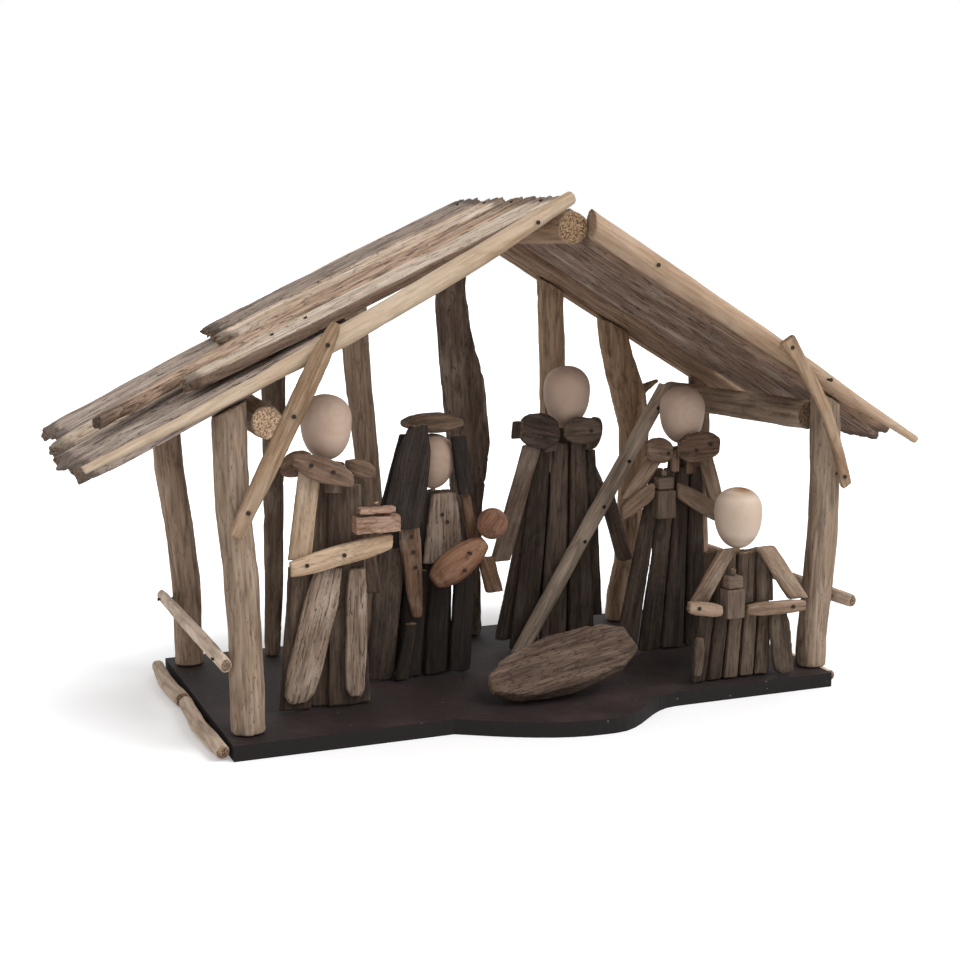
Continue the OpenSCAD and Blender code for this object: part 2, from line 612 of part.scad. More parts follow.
module right_upper_slat(front_share, back_share, end_share, seed) {
    y = roof_y((front_share + back_share) / 2);
    t = 0.86 * roof_t;
    level = max(ridge_r + gap, 0.18 * ridge_d * cos(right_angle) + roof_t + gap);
    both = left_angle + right_angle;
    start = ((level + t) * cos(both) - ridge_r + gap) / sin(both);
    finish = (right_end_x * end_share - ridge_x - right_up[0] * level) / cos(right_angle);
    base = [ridge_x, y, ridge_h] + right_up * (level + t / 2);
    stick(base + right_down * start, base + right_down * finish, roof_d * (back_share - front_share), t,
        face = right_up, seed = seed, section = grooved_section, width_shares = [[0, 0.97], [0.9, 1], [1, 0.7]]);
}

module left_eave_front_slat() {
    color("#8f867c")
        difference() {
            eave_slat(0, 0.236, thick_roof_t, 1, 41, 0.75);
            nail_bores(lap_nails);
        }
}

module left_eave_brown_slat() {
    color("#6b5242")
        eave_slat(0.242, 0.37, 1.15 * roof_t, 1.02, 42, 1);
}

module left_eave_wide_slat() {
    color("#a58e72")
        eave_slat(0.378, 0.645, roof_t, 1.01, 43, 1);
}

module left_eave_back_slats() {
    color("#8a7661") {
        eave_slat(0.65, 0.782, 1.3 * roof_t, 0.99, 44, 0.8);
        eave_slat(0.79, 1, roof_t, 1, 45);
    }
}

module left_upper_front_slat() {
    color("#b8a68c")
        difference() {
            upper_slat(0, 0.242, 0.78, 46);
            nail_bores(concat(ridge_nails, lap_nails, rafter_nails));
        }
}

module left_upper_second_slat() {
    color("#a08a70")
        difference() {
            upper_slat(0.248, 0.475, 0.95, 47, second_widths, second_sway_shares);
            nail_bores(ridge_nails);
        }
}

module left_upper_back_slats() {
    color("#93806a")
        difference() {
            union() {
                upper_slat(0.482, 0.718, 0.64, 48);
                upper_slat(0.726, 1, 0.62, 49);
            }
            nail_bores(ridge_nails);
        }
}

module right_front_slat() {
    color("#c9bba9")
        difference() {
            right_slat(0, 0.098, 0.955, front_rise, 50);
            nail_bores(rafter_nails);
        }
}

module right_front_plank() {
    color("#4b423c")
        difference() {
            right_slat(0.104, 0.404, 0.997, 0, 51);
            nail_bores(rafter_nails);
        }
}

module right_back_plank() {
    color("#4f463f")
        right_slat(0.411, 0.706, 0.99, 0, 52);
}

module right_back_strips() {
    color("#8d7c69") {
        right_slat(0.714, 0.904, 0.97, -back_drop, 53);
        right_slat(0.912, 1, 0.965, -back_drop, 54);
    }
}

module right_upper_slats() {
    color("#9a8872") {
        right_upper_slat(0.11, 0.3, 0.8, 55);
        right_upper_slat(0.31, 0.52, 0.72, 56);
        right_upper_slat(0.53, 0.74, 0.76, 57);
        right_upper_slat(0.75, 0.98, 0.66, 58);
    }
}

// Figures. A row is [upper end's x and height, lower end's x and height, width, layer, end width].
// All but the layer are shares: x, heights and width of the figure's height, the last of the width.
// Layer 0 is the core, positive layers lie before it and negative ones behind it.
// A short row that lies flat is given from its left end to its right end.
layer_pitch = slat_t + gap;
function layer_y(k) = k == 0 ? 0 : -sign(k) * (core_t / 2 - slat_t / 2 + abs(k) * layer_pitch);
function front_of(k) = layer_y(k) - slat_t / 2;
foot_z = board_t + gap;
left_king_place = [-0.313 * board_w, -0.215 * board_d];
mother_place = [-0.117 * board_w, 0];
father_place = [0.179 * board_w, 0.18 * board_d];
right_king_place = [0.355 * board_w, 0];
kneeling_place = [0.347 * board_w, -0.4 * board_d];
crib_place = [0.033 * board_w, -0.41 * board_d];
crib_screw = crib_place + [0.04 * crib_l, 0.2 * crib_w];

// Outlines of the figures' pieces: a round chip, a leaf, a slat with a rounded foot, a tapered arm
chip_outline = [[0, 0.45], [0.14, 0.8], [0.4, 1], [0.65, 1], [0.88, 0.76], [1, 0.42]];
leaf_outline = [[0, 0.4], [0.12, 0.72], [0.35, 1], [0.6, 0.98], [0.85, 0.72], [1, 0.4]];
foot_outline = [[0, 0.5], [0.06, 0.85], [0.16, 1], [0.75, 1], [1, 0.75]];
arm_outline = [[0, 0.62], [0.12, 0.92], [0.4, 1], [0.8, 0.95], [1, 0.7]];
sleeve_outline = [[0, 0.4], [0.1, 0.64], [0.35, 0.8], [0.75, 1], [1, 0.9]];
veil_outline = [[0, 0.85], [0.25, 1], [0.55, 0.95], [0.8, 0.78], [1, 0.42]];

module row(place, h, r, seed) {
    k = r[5];
    t = k == 0 ? core_t : slat_t;
    y = place[1] + layer_y(k);
    b = [place[0] + r[0] * h, y, foot_z + r[1] * h];
    a = [place[0] + r[2] * h, y, foot_z + r[3] * h];
    upright = abs(b[2] - a[2]) > abs(b[0] - a[0]);
    cut = upright ? [0, 0, 1] : [1, 0, 0];
    stick(a, b, r[4] * h, t, na = cut, nb = cut, seed = seed,
        width_shares = len(r) > 6 && is_list(r[6]) ? r[6] : [[0, 1], [1, len(r) > 6 ? r[6] : 0.92]]);
}

// Nails of a figure are [x share, height share, layer, layers that the nail goes through]
function figure_nails(place, h, marks) = [for (m = marks)
    [[place[0] + m[0] * h, place[1] + front_of(m[2]), foot_z + m[1] * h], [0, -1, 0], m[3] * layer_pitch - 2 * gap]];

function neck_of(place, h, core) = [place[0] + core[0] * h, place[1], foot_z + core[1] * h];

module neck_dowel(p) {
    translate([p[0], p[1], p[2] - dowel_l / 2])
        cylinder(d = dowel_d, h = dowel_l, $fn = 24);
}

module neck_bore(p) {
    translate([p[0], p[1], p[2] - dowel_l / 2 - gap])
        cylinder(d = dowel_d + 2 * fit, h = dowel_l + 2 * gap, $fn = 24);
}

module figure_part(place, h, rows, seed, core, marks = []) {
    difference() {
        for (i = [0:len(rows) - 1])
            row(place, h, rows[i], seed + i);
        neck_bore(neck_of(place, h, core));
        screw_bore([place[0] + core[2] * h, place[1]]);
        nail_bores(figure_nails(place, h, marks));
    }
}

// A blank egg-shaped head, wider above, on its dowel
module figure_head(p, size_share = 1) {
    steps = 14;
    difference() {
        translate([p[0], p[1], p[2] + gap])
            rotate_extrude($fn = 48)
                polygon([for (i = [0:steps]) let (u = ring_share(i, steps + 1))
                    [size_share * head_w / 2 * pow(sin(180 * pow(u, 0.85)), 0.6), size_share * head_h * u]]);
        neck_bore(p);
    }
}

// A gift: a box with a lid and a knob, standing on z, with its back at y
module gift(x, y, z, w, h) {
    box_h = 0.6 * h;
    lid_h = 0.27 * h;
    translate([x - w / 2, y - gift_d, z])
        cube([w, gift_d, box_h]);
    translate([x - 0.4 * w, y - 0.9 * gift_d, z + box_h + gap])
        cube([0.8 * w, 0.8 * gift_d, lid_h]);
    translate([x, y - gift_d / 2, z + box_h + lid_h + 2 * gap])
        cylinder(d = 0.4 * gift_d, h = h - box_h - lid_h, $fn = 24);
}

// Left standing figure
left_king_core = [0, 0.785, -0.02, 0, 0.13, 0];
left_king_robe_rows = [left_king_core,
    [0.045, 0.715, 0.05, 0, 0.15, 1, 0.75],
    [-0.09, 0.47, -0.13, 0, 0.115, 1],
    [-0.018, 0.46, -0.13, 0.03, 0.118, 2, foot_outline],
    [0.074, 0.455, 0.06, 0.03, 0.076, 2, foot_outline],
    [0, 0.775, 0, 0.69, 0.06, 2],
    [0.09, 0.5, 0.09, 0, 0.1, -1],
    [-0.06, 0.62, -0.07, 0, 0.09, -1],
    [0.12, 0.74, 0.17, 0.33, 0.055, -2]];
left_king_arm_rows = [
    [-0.072, 0.785, -0.113, 0.49, 0.083, 2],
    [-0.155, 0.468, 0.185, 0.535, 0.075, 3, arm_outline]];
left_king_shoulder_rows = [
    [-0.14, 0.81, 0.06, 0.735, 0.09, 3, leaf_outline],
    [-0.16, 0.775, -0.055, 0.8, 0.09, 1, chip_outline],
    [0.046, 0.775, 0.15, 0.745, 0.07, 1, leaf_outline]];
left_king_marks = [[-0.08, 0.79, 3, 1], [-0.01, 0.765, 3, 2], [-0.1, 0.48, 3, 1], [0.02, 0.503, 3, 1]];

module left_king_robe() {
    color("#51473f")
        figure_part(left_king_place, left_king_h, left_king_robe_rows, 61, left_king_core, left_king_marks);
}

module left_king_arms() {
    color("#b9a78e")
        figure_part(left_king_place, left_king_h, left_king_arm_rows, 71, left_king_core, left_king_marks);
}

module left_king_shoulders() {
    color("#6a5c50")
        figure_part(left_king_place, left_king_h, left_king_shoulder_rows, 74, left_king_core, left_king_marks);
}

module left_king_head() {
    color("#b8a392")
        figure_head(neck_of(left_king_place, left_king_h, left_king_core));
}

module left_king_gift() {
    color("#b08f7c")
        gift(left_king_place[0] + 0.125 * left_king_h, left_king_place[1] + front_of(2) - gap,
            foot_z + 0.565 * left_king_h, 0.15 * left_king_h, 0.1 * left_king_h);
}

// Mother
mother_core = [0.034, 0.72, 0.02, 0, 0.17, 0];
mother_robe_rows = [mother_core,
    [0.062, 0.715, 0.06, 0.435, 0.19, 1, 0.55],
    [-0.15, 0.515, -0.21, 0, 0.13, 1],
    [-0.05, 0.42, -0.085, 0, 0.098, 1],
    [0.048, 0.42, 0.018, 0, 0.098, 1],
    [0.146, 0.42, 0.121, 0, 0.098, 1],
    [-0.087, 0.225, -0.13, 0, 0.056, 2],
    [-0.09, 0.66, -0.12, 0, 0.145, -1],
    [0.06, 0.66, 0.045, 0, 0.135, -1]];
mother_arm_rows = [
    [-0.093, 0.63, -0.063, 0.24, 0.094, 2, sleeve_outline],
    [0.15, 0.7, 0.19, 0.46, 0.05, 1],
    [0.22, 0.46, 0.257, 0.31, 0.08, 2]];
mother_veil_rows = [
    [-0.06, 0.99, -0.13, 0.59, 0.17, 3, veil_outline],
    [-0.095, 0.955, -0.195, 0.6, 0.07, 2],
    [0.11, 0.94, 0.142, 0.7, 0.075, 2]];
mother_marks = [[0.05, 0.63, 1, 2], [0.07, 0.6, 1, 2], [-0.085, 0.56, 2, 1], [-0.08, 0.5, 2, 1], [-0.072, 0.44, 2, 1]];
mother_head_share = 0.9;

module mother_robe() {
    color("#4f443c")
        figure_part(mother_place, mother_h, mother_robe_rows, 81, mother_core, mother_marks);
}

module mother_arms() {
    color("#8d7c6b")
        figure_part(mother_place, mother_h, mother_arm_rows, 91, mother_core, mother_marks);
}

module mother_veil() {
    neck = neck_of(mother_place, mother_h, mother_core);
    w = 0.078 * mother_h;
    z = neck[2] + 2 * gap + mother_head_share * head_h + w / 2;
    color("#3b3432") {
        figure_part(mother_place, mother_h, mother_veil_rows, 94, mother_core, mother_marks);
        stick([neck[0] - 0.115 * mother_h, neck[1], z], [neck[0] + 0.115 * mother_h, neck[1], z], w, 1.6 * w,
            na = [1, 0, 0], nb = [1, 0, 0], seed = 97, rings = 9,
            width_shares = [[0, 0.35], [0.2, 0.85], [0.45, 1], [0.7, 0.95], [1, 0.4]]);
    }
}

module mother_head() {
    color("#b39c8a")
        figure_head(neck_of(mother_place, mother_h, mother_core), mother_head_share);
}

// Baby in the mother's arms: a swaddled body and a head
baby_r = 0.26 * baby_l;
baby_y = mother_place[1] + front_of(1) - gap - baby_r;
baby_middle = [mother_place[0] + 0.096 * mother_h, baby_y, foot_z + 0.46 * mother_h];
baby_along = unit([1, 0, 0.66]);
baby_head_r = 0.23 * baby_l;
baby_neck = baby_middle + baby_along * 0.45 * baby_l;
// The head lies above the end of the body
baby_head_at = baby_neck + baby_along * (baby_head_r + gap)
    + 0.15 * baby_l * [-baby_along[2], 0, baby_along[0]];

module baby() {
    color("#8a6048") {
        difference() {
            pole(baby_middle - baby_along * baby_l / 2, baby_neck, 2 * baby_r, rings = 9, seed = 98,
                width_shares = [[0, 0.42], [0.1, 0.74], [0.25, 0.94], [0.45, 1], [0.65, 0.92], [0.85, 0.68], [1, 0.42]]);
            nail_bores(baby_nails);
        }
        translate(baby_head_at)
            sphere(r = baby_head_r, $fn = 40);
    }
}

baby_nails = [for (share = [-0.03, 0.05])
    [baby_middle + [share * baby_l, -0.97 * baby_r, 3 * share * baby_l], [0, -1, 0], 1.2 * baby_r]];

// Father
father_core = [0, 0.78, -0.01, 0, 0.12, 0];
father_robe_rows = [father_core,
    [-0.105, 0.73, -0.185, 0, 0.112, 1, 0.54],
    [-0.04, 0.73, -0.07, 0, 0.112, 1, 0.54],
    [0.025, 0.73, 0.045, 0, 0.112, 1, 0.54],
    [-0.05, 0.62, -0.08, 0.05, 0.13, -1],
    [-0.125, 0.6, -0.246, 0.03, 0.056, 0],
    [0.088, 0.7, 0.118, 0.085, 0.046, 0]];
father_arm_rows = [
    [-0.161, 0.735, -0.282, 0.33, 0.08, 2],
    [0.057, 0.72, 0.152, 0.508, 0.075, -1],
    [0.158, 0.53, 0.235, 0.278, 0.06, 0]];
father_shoulder_rows = [
    [-0.222, 0.79, -0.068, 0.775, 0.145, 3, chip_outline],
    [-0.215, 0.82, -0.22, 0.75, 0.045, 2],
    [-0.055, 0.775, 0.09, 0.775, 0.11, 3, chip_outline],
    [0.085, 0.82, 0.06, 0.7, 0.075, 2, chip_outline],
    [-0.09, 0.785, -0.09, 0.7, 0.07, 2]];
father_marks = [[-0.13, 0.76, 3, 1], [0.045, 0.775, 3, 2]];

module father_robe() {
    color("#4d433b")
        figure_part(father_place, father_h, father_robe_rows, 101, father_core, father_marks);
}

module father_arms() {
    color("#6e5f52")
        figure_part(father_place, father_h, father_arm_rows, 111, father_core, father_marks);
}

module father_shoulders() {
    color("#6b5445")
        figure_part(father_place, father_h, father_shoulder_rows, 114, father_core, father_marks);
}

module father_head() {
    color("#b5a08d")
        figure_head(neck_of(father_place, father_h, father_core), 1.04);
}

staff_y = father_place[1] + front_of(1) - gap - staff_d / 2;
staff_a = [father_place[0] - 0.219 * father_h, staff_y, foot_z];
staff_b = [father_place[0] + 0.348 * father_h, staff_y, foot_z + 0.917 * father_h];
staff_nails = [for (share = [0.42, 0.55, 0.72, 0.92])
    [staff_a + share * (staff_b - staff_a) + [0, -0.49 * staff_d, 0], [0, -1, 0], 0.6 * staff_d]];

module staff() {
    color("#6f6257")
        difference() {
            pole(staff_a, staff_b, staff_d, na = [0, 0, 1], rings = 11, seed = 118,
                width_shares = [[0, 0.92], [0.3, 1], [0.7, 1], [1, 0.9]]);
            nail_bores(staff_nails);
        }
}

// Right standing figure
right_king_core = [0, 0.787, -0.02, 0, 0.13, 0];
right_king_robe_rows = [right_king_core,
    [-0.125, 0.71, -0.257, 0, 0.1, 1, 0.52],
    [-0.07, 0.71, -0.154, 0, 0.1, 1, 0.52],
    [-0.015, 0.71, -0.051, 0, 0.1, 1, 0.52],
    [0.04, 0.71, 0.052, 0, 0.1, 1, 0.52],
    [0.058, 0.6, 0.054, 0.05, 0.07, -1],
    [-0.047, 0.6, -0.047, 0, 0.12, -1]];
right_king_arm_rows = [
    [-0.145, 0.765, -0.26, 0.6, 0.07, 2],
    [0.06, 0.757, 0.12, 0.556, 0.07, 2],
    [-0.31, 0.555, -0.168, 0.64, 0.075, 3, arm_outline],
    [-0.078, 0.635, 0.15, 0.505, 0.08, 3, arm_outline]];
right_king_shoulder_rows = [
    [-0.212, 0.79, -0.094, 0.78, 0.115, 3, chip_outline],
    [-0.076, 0.785, 0.112, 0.795, 0.13, 3, chip_outline],
    [0, 0.785, 0, 0.68, 0.045, 2],
    [-0.067, 0.785, -0.067, 0.69, 0.038, 2]];
right_king_marks = [[-0.12, 0.775, 3, 1], [0.0, 0.78, 3, 2], [0.06, 0.8, 3, 1]];

module right_king_robe() {
    color("#5a4c42")
        figure_part(right_king_place, right_king_h, right_king_robe_rows, 121, right_king_core, right_king_marks);
}

module right_king_arms() {
    color("#7f6f60")
        figure_part(right_king_place, right_king_h, right_king_arm_rows, 131, right_king_core, right_king_marks);
}

module right_king_shoulders() {
    color("#66574b")
        figure_part(right_king_place, right_king_h, right_king_shoulder_rows, 136, right_king_core, right_king_marks);
}

module right_king_head() {
    color("#b8a392")
        figure_head(neck_of(right_king_place, right_king_h, right_king_core));
}

module right_king_gift() {
    color("#b08f7c")
        gift(right_king_place[0] - 0.123 * right_king_h, right_king_place[1] + front_of(1) - gap,
            foot_z + 0.525 * right_king_h, 0.08 * right_king_h, 0.18 * right_king_h);
}

// Kneeling figure
kneeling_core = [0, 0.67, 0, 0, 0.14, 0];
kneeling_robe_rows = [kneeling_core,
    [-0.09, 0.67, -0.115, 0.39, 0.11, 1, 0.85],
    [0.015, 0.67, 0.01, 0.39, 0.11, 1, 0.88],
    [0.12, 0.67, 0.135, 0.39, 0.11, 1, 0.85],
    [-0.205, 0.375, -0.255, 0, 0.09, 1, 0.88],
    [-0.12, 0.375, -0.161, 0, 0.09, 1, 0.88],
    [-0.035, 0.375, -0.067, 0, 0.09, 1, 0.88],
    [0.05, 0.375, 0.027, 0, 0.09, 1, 0.88],
    [0.135, 0.375, 0.121, 0, 0.09, 1, 0.88],
    [0.19, 0.35, 0.235, 0, 0.13, 2, foot_outline],
    [-0.275, 0.25, -0.285, 0.04, 0.06, 2, foot_outline],
    [0.03, 0.66, 0.03, 0, 0.44, -1],
    [-0.13, 0.33, -0.16, 0, 0.1, 0],
    [0.125, 0.33, 0.14, 0, 0.1, 0]];
kneeling_arm_rows = [
    [-0.115, 0.705, -0.3, 0.4, 0.1, 2],
    [0.1, 0.7, 0.31, 0.4, 0.11, 2],
    [-0.375, 0.425, -0.168, 0.39, 0.085, 3, arm_outline],
    [-0.033, 0.38, 0.33, 0.375, 0.085, 3, arm_outline]];
kneeling_marks = [[-0.315, 0.418, 3, 2], [0.24, 0.378, 3, 1]];

module kneeling_king_robe() {
    color("#5c5048")
        figure_part(kneeling_place, kneeling_king_h, kneeling_robe_rows, 141, kneeling_core, kneeling_marks);
}

module kneeling_king_arms() {
    color("#7a6a5c")
        figure_part(kneeling_place, kneeling_king_h, kneeling_arm_rows, 152, kneeling_core, kneeling_marks);
}

module kneeling_king_head() {
    color("#d5c8b8")
        figure_head(neck_of(kneeling_place, kneeling_king_h, kneeling_core));
}

module kneeling_king_gift() {
    color("#b08f7c")
        gift(kneeling_place[0] - 0.1 * kneeling_king_h, kneeling_place[1] + front_of(1) - gap,
            foot_z + 0.345 * kneeling_king_h, 0.11 * kneeling_king_h, 0.25 * kneeling_king_h);
}

// Crib: a boat-shaped root whose flat face leans to the front and dips to the left
crib_lean = 35;
crib_dip = 12;
crib_along = [cos(crib_dip), 0, sin(crib_dip)];
crib_up = cos(crib_lean) * [-sin(crib_dip), 0, cos(crib_dip)] + sin(crib_lean) * [0, -1, 0];

module crib() {
    middle = [crib_place[0], crib_place[1], foot_z + 0.9 * crib_d];
    color("#6b5648")
        difference() {
            stick(middle - crib_along * crib_l / 2, middle + crib_along * crib_l / 2, crib_w, 2 * crib_d, face = crib_up,
                form = round_form, flat = false, rings = 13, rough_share = 0.06, seed = 161,
                width_shares = [[0, 0.3], [0.1, 0.62], [0.2, 0.82], [0.4, 0.98], [0.6, 1], [0.8, 0.9], [0.9, 0.76], [1, 0.46]]);
            aim(middle, crib_up)
                translate([-crib_l, -crib_l, 0.06 * crib_d])
                    cube([2 * crib_l, 2 * crib_l, 2 * crib_d]);
            translate([crib_place[0] - crib_l, crib_place[1] - crib_l, foot_z - 2 * crib_d])
                cube([2 * crib_l, 2 * crib_l, 2 * crib_d]);
            screw_bore(crib_screw);
        }
}

// Fasteners
screw_places = [
    [front_left_x, front_y], [front_right_x - right_screw_shift, front_y], [back_left_x, back_y], [back_second_x, back_y],
    [back_third_x, back_y], [plank_x, back_y], [back_fifth_x, back_y], [branch_x, back_y], [back_right_x - right_screw_shift, back_y],
    [left_king_place[0] + left_king_core[2] * left_king_h, left_king_place[1]],
    [mother_place[0] + mother_core[2] * mother_h, mother_place[1]],
    [father_place[0] + father_core[2] * father_h, father_place[1]],
    [right_king_place[0] + right_king_core[2] * right_king_h, right_king_place[1]],
    kneeling_place, crib_screw];

module board_screws() {
    color("#8c8c8c")
        for (p = screw_places)
            screw(p);
}

module nails() {
    color("#6a5f58")
        for (n = concat(left_brace_nails, right_brace_nails, left_rail_nails, right_rail_nails, ridge_nails, lap_nails,
            rafter_nails, figure_nails(left_king_place, left_king_h, left_king_marks),
            figure_nails(mother_place, mother_h, mother_marks), figure_nails(father_place, father_h, father_marks),
            figure_nails(right_king_place, right_king_h, right_king_marks),
            figure_nails(kneeling_place, kneeling_king_h, kneeling_marks), baby_nails, staff_nails))
            nail(n);
}

module neck_dowels() {
    color("#c8ab7e") {
        neck_dowel(neck_of(left_king_place, left_king_h, left_king_core));
        neck_dowel(neck_of(mother_place, mother_h, mother_core));
        neck_dowel(neck_of(father_place, father_h, father_core));
        neck_dowel(neck_of(right_king_place, right_king_h, right_king_core));
        neck_dowel(neck_of(kneeling_place, kneeling_king_h, kneeling_core));
    }
}

base_board();
edge_sticks();
front_left_post();
front_right_post();
back_left_post();
back_second_post();
back_third_post();
back_plank();
back_fifth_post();
forked_branch();
back_right_post();
ridge_pole();
left_purlin();
right_purlin();
left_rafter_pole();
right_rafter_pole();
left_brace();
right_brace();
left_side_rail();
right_side_rail();
left_eave_front_slat();
left_eave_brown_slat();
left_eave_wide_slat();
left_eave_back_slats();
left_upper_front_slat();
left_upper_second_slat();
left_upper_back_slats();
right_front_slat();
right_front_plank();
right_back_plank();
right_back_strips();
right_upper_slats();
board_screws();
nails();
neck_dowels();
left_king_head();
left_king_shoulders();
left_king_arms();
left_king_robe();
left_king_gift();
mother_head();
mother_veil();
mother_arms();
mother_robe();
baby();
father_head();
father_shoulders();
father_arms();
father_robe();
staff();
right_king_head();
right_king_shoulders();
right_king_arms();
right_king_robe();
right_king_gift();
kneeling_king_head();
kneeling_king_arms();
kneeling_king_robe();
kneeling_king_gift();
crib();
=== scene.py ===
# Driftwood stable with stick figures on a painted board.
import bpy, bmesh, json, math
import numpy as np
from mathutils import Vector, Matrix, noise

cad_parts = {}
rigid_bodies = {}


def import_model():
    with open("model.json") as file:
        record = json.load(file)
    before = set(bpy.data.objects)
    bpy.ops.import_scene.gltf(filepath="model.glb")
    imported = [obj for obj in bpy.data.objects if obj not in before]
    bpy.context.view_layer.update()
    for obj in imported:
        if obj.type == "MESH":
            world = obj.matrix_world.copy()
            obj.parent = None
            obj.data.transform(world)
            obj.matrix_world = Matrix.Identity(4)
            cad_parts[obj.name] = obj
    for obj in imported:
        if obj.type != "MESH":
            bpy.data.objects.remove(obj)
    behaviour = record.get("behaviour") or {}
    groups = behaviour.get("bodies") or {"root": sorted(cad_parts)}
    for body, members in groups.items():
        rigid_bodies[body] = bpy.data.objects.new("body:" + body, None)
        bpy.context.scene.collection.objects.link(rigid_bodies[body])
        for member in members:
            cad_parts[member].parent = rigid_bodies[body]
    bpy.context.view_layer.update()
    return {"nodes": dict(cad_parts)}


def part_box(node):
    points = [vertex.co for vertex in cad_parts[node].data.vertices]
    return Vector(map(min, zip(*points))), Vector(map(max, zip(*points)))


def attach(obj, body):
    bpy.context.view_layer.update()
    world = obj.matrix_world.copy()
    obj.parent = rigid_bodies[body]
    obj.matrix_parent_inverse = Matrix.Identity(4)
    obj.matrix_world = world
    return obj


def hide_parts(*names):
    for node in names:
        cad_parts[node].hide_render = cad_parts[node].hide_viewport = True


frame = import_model()
print("frame loaded")

nodes = frame["nodes"]


# Camera

cameraSettings = {
    "place": (-0.37201, -0.91636, 0.28304),
    "yawDeg": 21.684,  # towards +X from straight back
    "downDeg": 8.870,
    "rollDeg": 0.232,
    "lensMm": 59.86,
    "sensorMm": 36.0,
    "clip": (0.01, 20),
}


def makeCamera(settings):
    data = bpy.data.cameras.new("photoCamera")
    data.lens = settings["lensMm"]
    data.sensor_width = settings["sensorMm"]
    data.clip_start, data.clip_end = settings["clip"]
    camera = bpy.data.objects.new("photoCamera", data)
    bpy.context.scene.collection.objects.link(camera)
    turn = (Matrix.Rotation(-math.radians(settings["yawDeg"]), 4, "Z")
            @ Matrix.Rotation(math.radians(90 - settings["downDeg"]), 4, "X")
            @ Matrix.Rotation(-math.radians(settings["rollDeg"]), 4, "Z"))
    camera.matrix_world = Matrix.Translation(settings["place"]) @ turn
    bpy.context.scene.camera = camera


makeCamera(cameraSettings)
bpy.context.scene.view_settings.view_transform = "Standard"
print("camera set")


# Shader helpers

def colourOf(hexText):  # sRGB hex to linear
    parts = [int(hexText[i:i + 2], 16) / 255 for i in (1, 3, 5)]
    return tuple(p / 12.92 if p <= 0.04045 else ((p + 0.055) / 1.055) ** 2.4 for p in parts) + (1.0,)


def addNode(tree, kind, settings=None, values=None):
    # settings are the node's own properties, values its sockets: a number or an output to link
    made = tree.nodes.new(kind)
    for name, value in (settings or {}).items():
        setattr(made, name, value)
    for name, value in (values or {}).items():
        socket = made.inputs[name]
        if isinstance(value, bpy.types.NodeSocket):
            tree.links.new(value, socket)
        else:
            socket.default_value = value
    return made


def setStops(ramp, stops):  # stops are (place, colour)
    elements = ramp.color_ramp.elements
    while len(elements) < len(stops):
        elements.new(0.5)
    for element, (place, colour) in zip(elements, stops):
        element.position = place
        element.color = colour


def newMaterial(name):
    material = bpy.data.materials.new(name)
    material.use_nodes = True
    material.node_tree.nodes.clear()
    return material, material.node_tree


def closeMaterial(tree, surface):
    addNode(tree, "ShaderNodeOutputMaterial", None, {"Surface": surface})


colourMix = {"data_type": "RGBA"}  # socket 0 is the share, 6 and 7 the colours, output 2 the result


# Floor, backdrop and light

white = (1, 1, 1, 1)

studio = {
    "floorHex": "#f4f4f5",
    "floorSize": 7.0,
    "floorGlow": 0.2,  # painted light: the floor glows for the camera, lifting it to white near the board; the shadow stays
    "farGlow": 0.62,
    "glowReach": (0.25, 0.18),  # half the width and depth of the patch where the painted glow stays low
    "glowFade": (0.80, 1.45),  # where the glow starts and ends to rise, in reaches
    "worldLevel": 0.62,
    "keyStrength": 1.75,
    "keyAngleDeg": 38,
    "keyFrom": (0.62, -0.62, 0.95),
    "fillStrength": 0.35,
    "fillFrom": (-0.6, -0.9, 0.5),
    "fillAngleDeg": 60,
}


def floorMaterial(settings):
    material, tree = newMaterial("whiteSweep")  # matt white studio paper; for the camera it also glows, more away from the board: painted light that fades the cast shadow out
    paper = addNode(tree, "ShaderNodeBsdfDiffuse", None, {"Color": colourOf(settings["floorHex"])})
    wide, deep = settings["glowReach"]
    place = addNode(tree, "ShaderNodeTexCoord").outputs["Object"]
    place = addNode(tree, "ShaderNodeMapping", None, {
        "Vector": place, "Scale": (1 / wide, 1 / deep, 1.0)}).outputs[0]
    reach = addNode(tree, "ShaderNodeVectorMath", {"operation": "LENGTH"}, {0: place}).outputs["Value"]
    start, end = settings["glowFade"]
    level = addNode(tree, "ShaderNodeMapRange", {"interpolation_type": "SMOOTHSTEP"}, {
        "Value": reach, "From Min": start, "From Max": end,
        "To Min": settings["floorGlow"], "To Max": settings["farGlow"]}).outputs[0]
    glow = addNode(tree, "ShaderNodeEmission", None, {"Color": white, "Strength": level})
    lit = addNode(tree, "ShaderNodeAddShader", None, {0: paper.outputs[0], 1: glow.outputs[0]})
    ray = addNode(tree, "ShaderNodeLightPath")
    mix = addNode(tree, "ShaderNodeMixShader", None, {
        0: ray.outputs["Is Camera Ray"], 1: paper.outputs[0], 2: lit.outputs[0]})
    closeMaterial(tree, mix.outputs[0])
    return material


def makeFloor(settings):
    bm = bmesh.new()
    bmesh.ops.create_grid(bm, x_segments=1, y_segments=1, size=settings["floorSize"])
    mesh = bpy.data.meshes.new("floor")
    bm.to_mesh(mesh)
    bm.free()
    mesh.materials.append(floorMaterial(settings))
    floor = bpy.data.objects.new("floor", mesh)
    bpy.context.scene.collection.objects.link(floor)


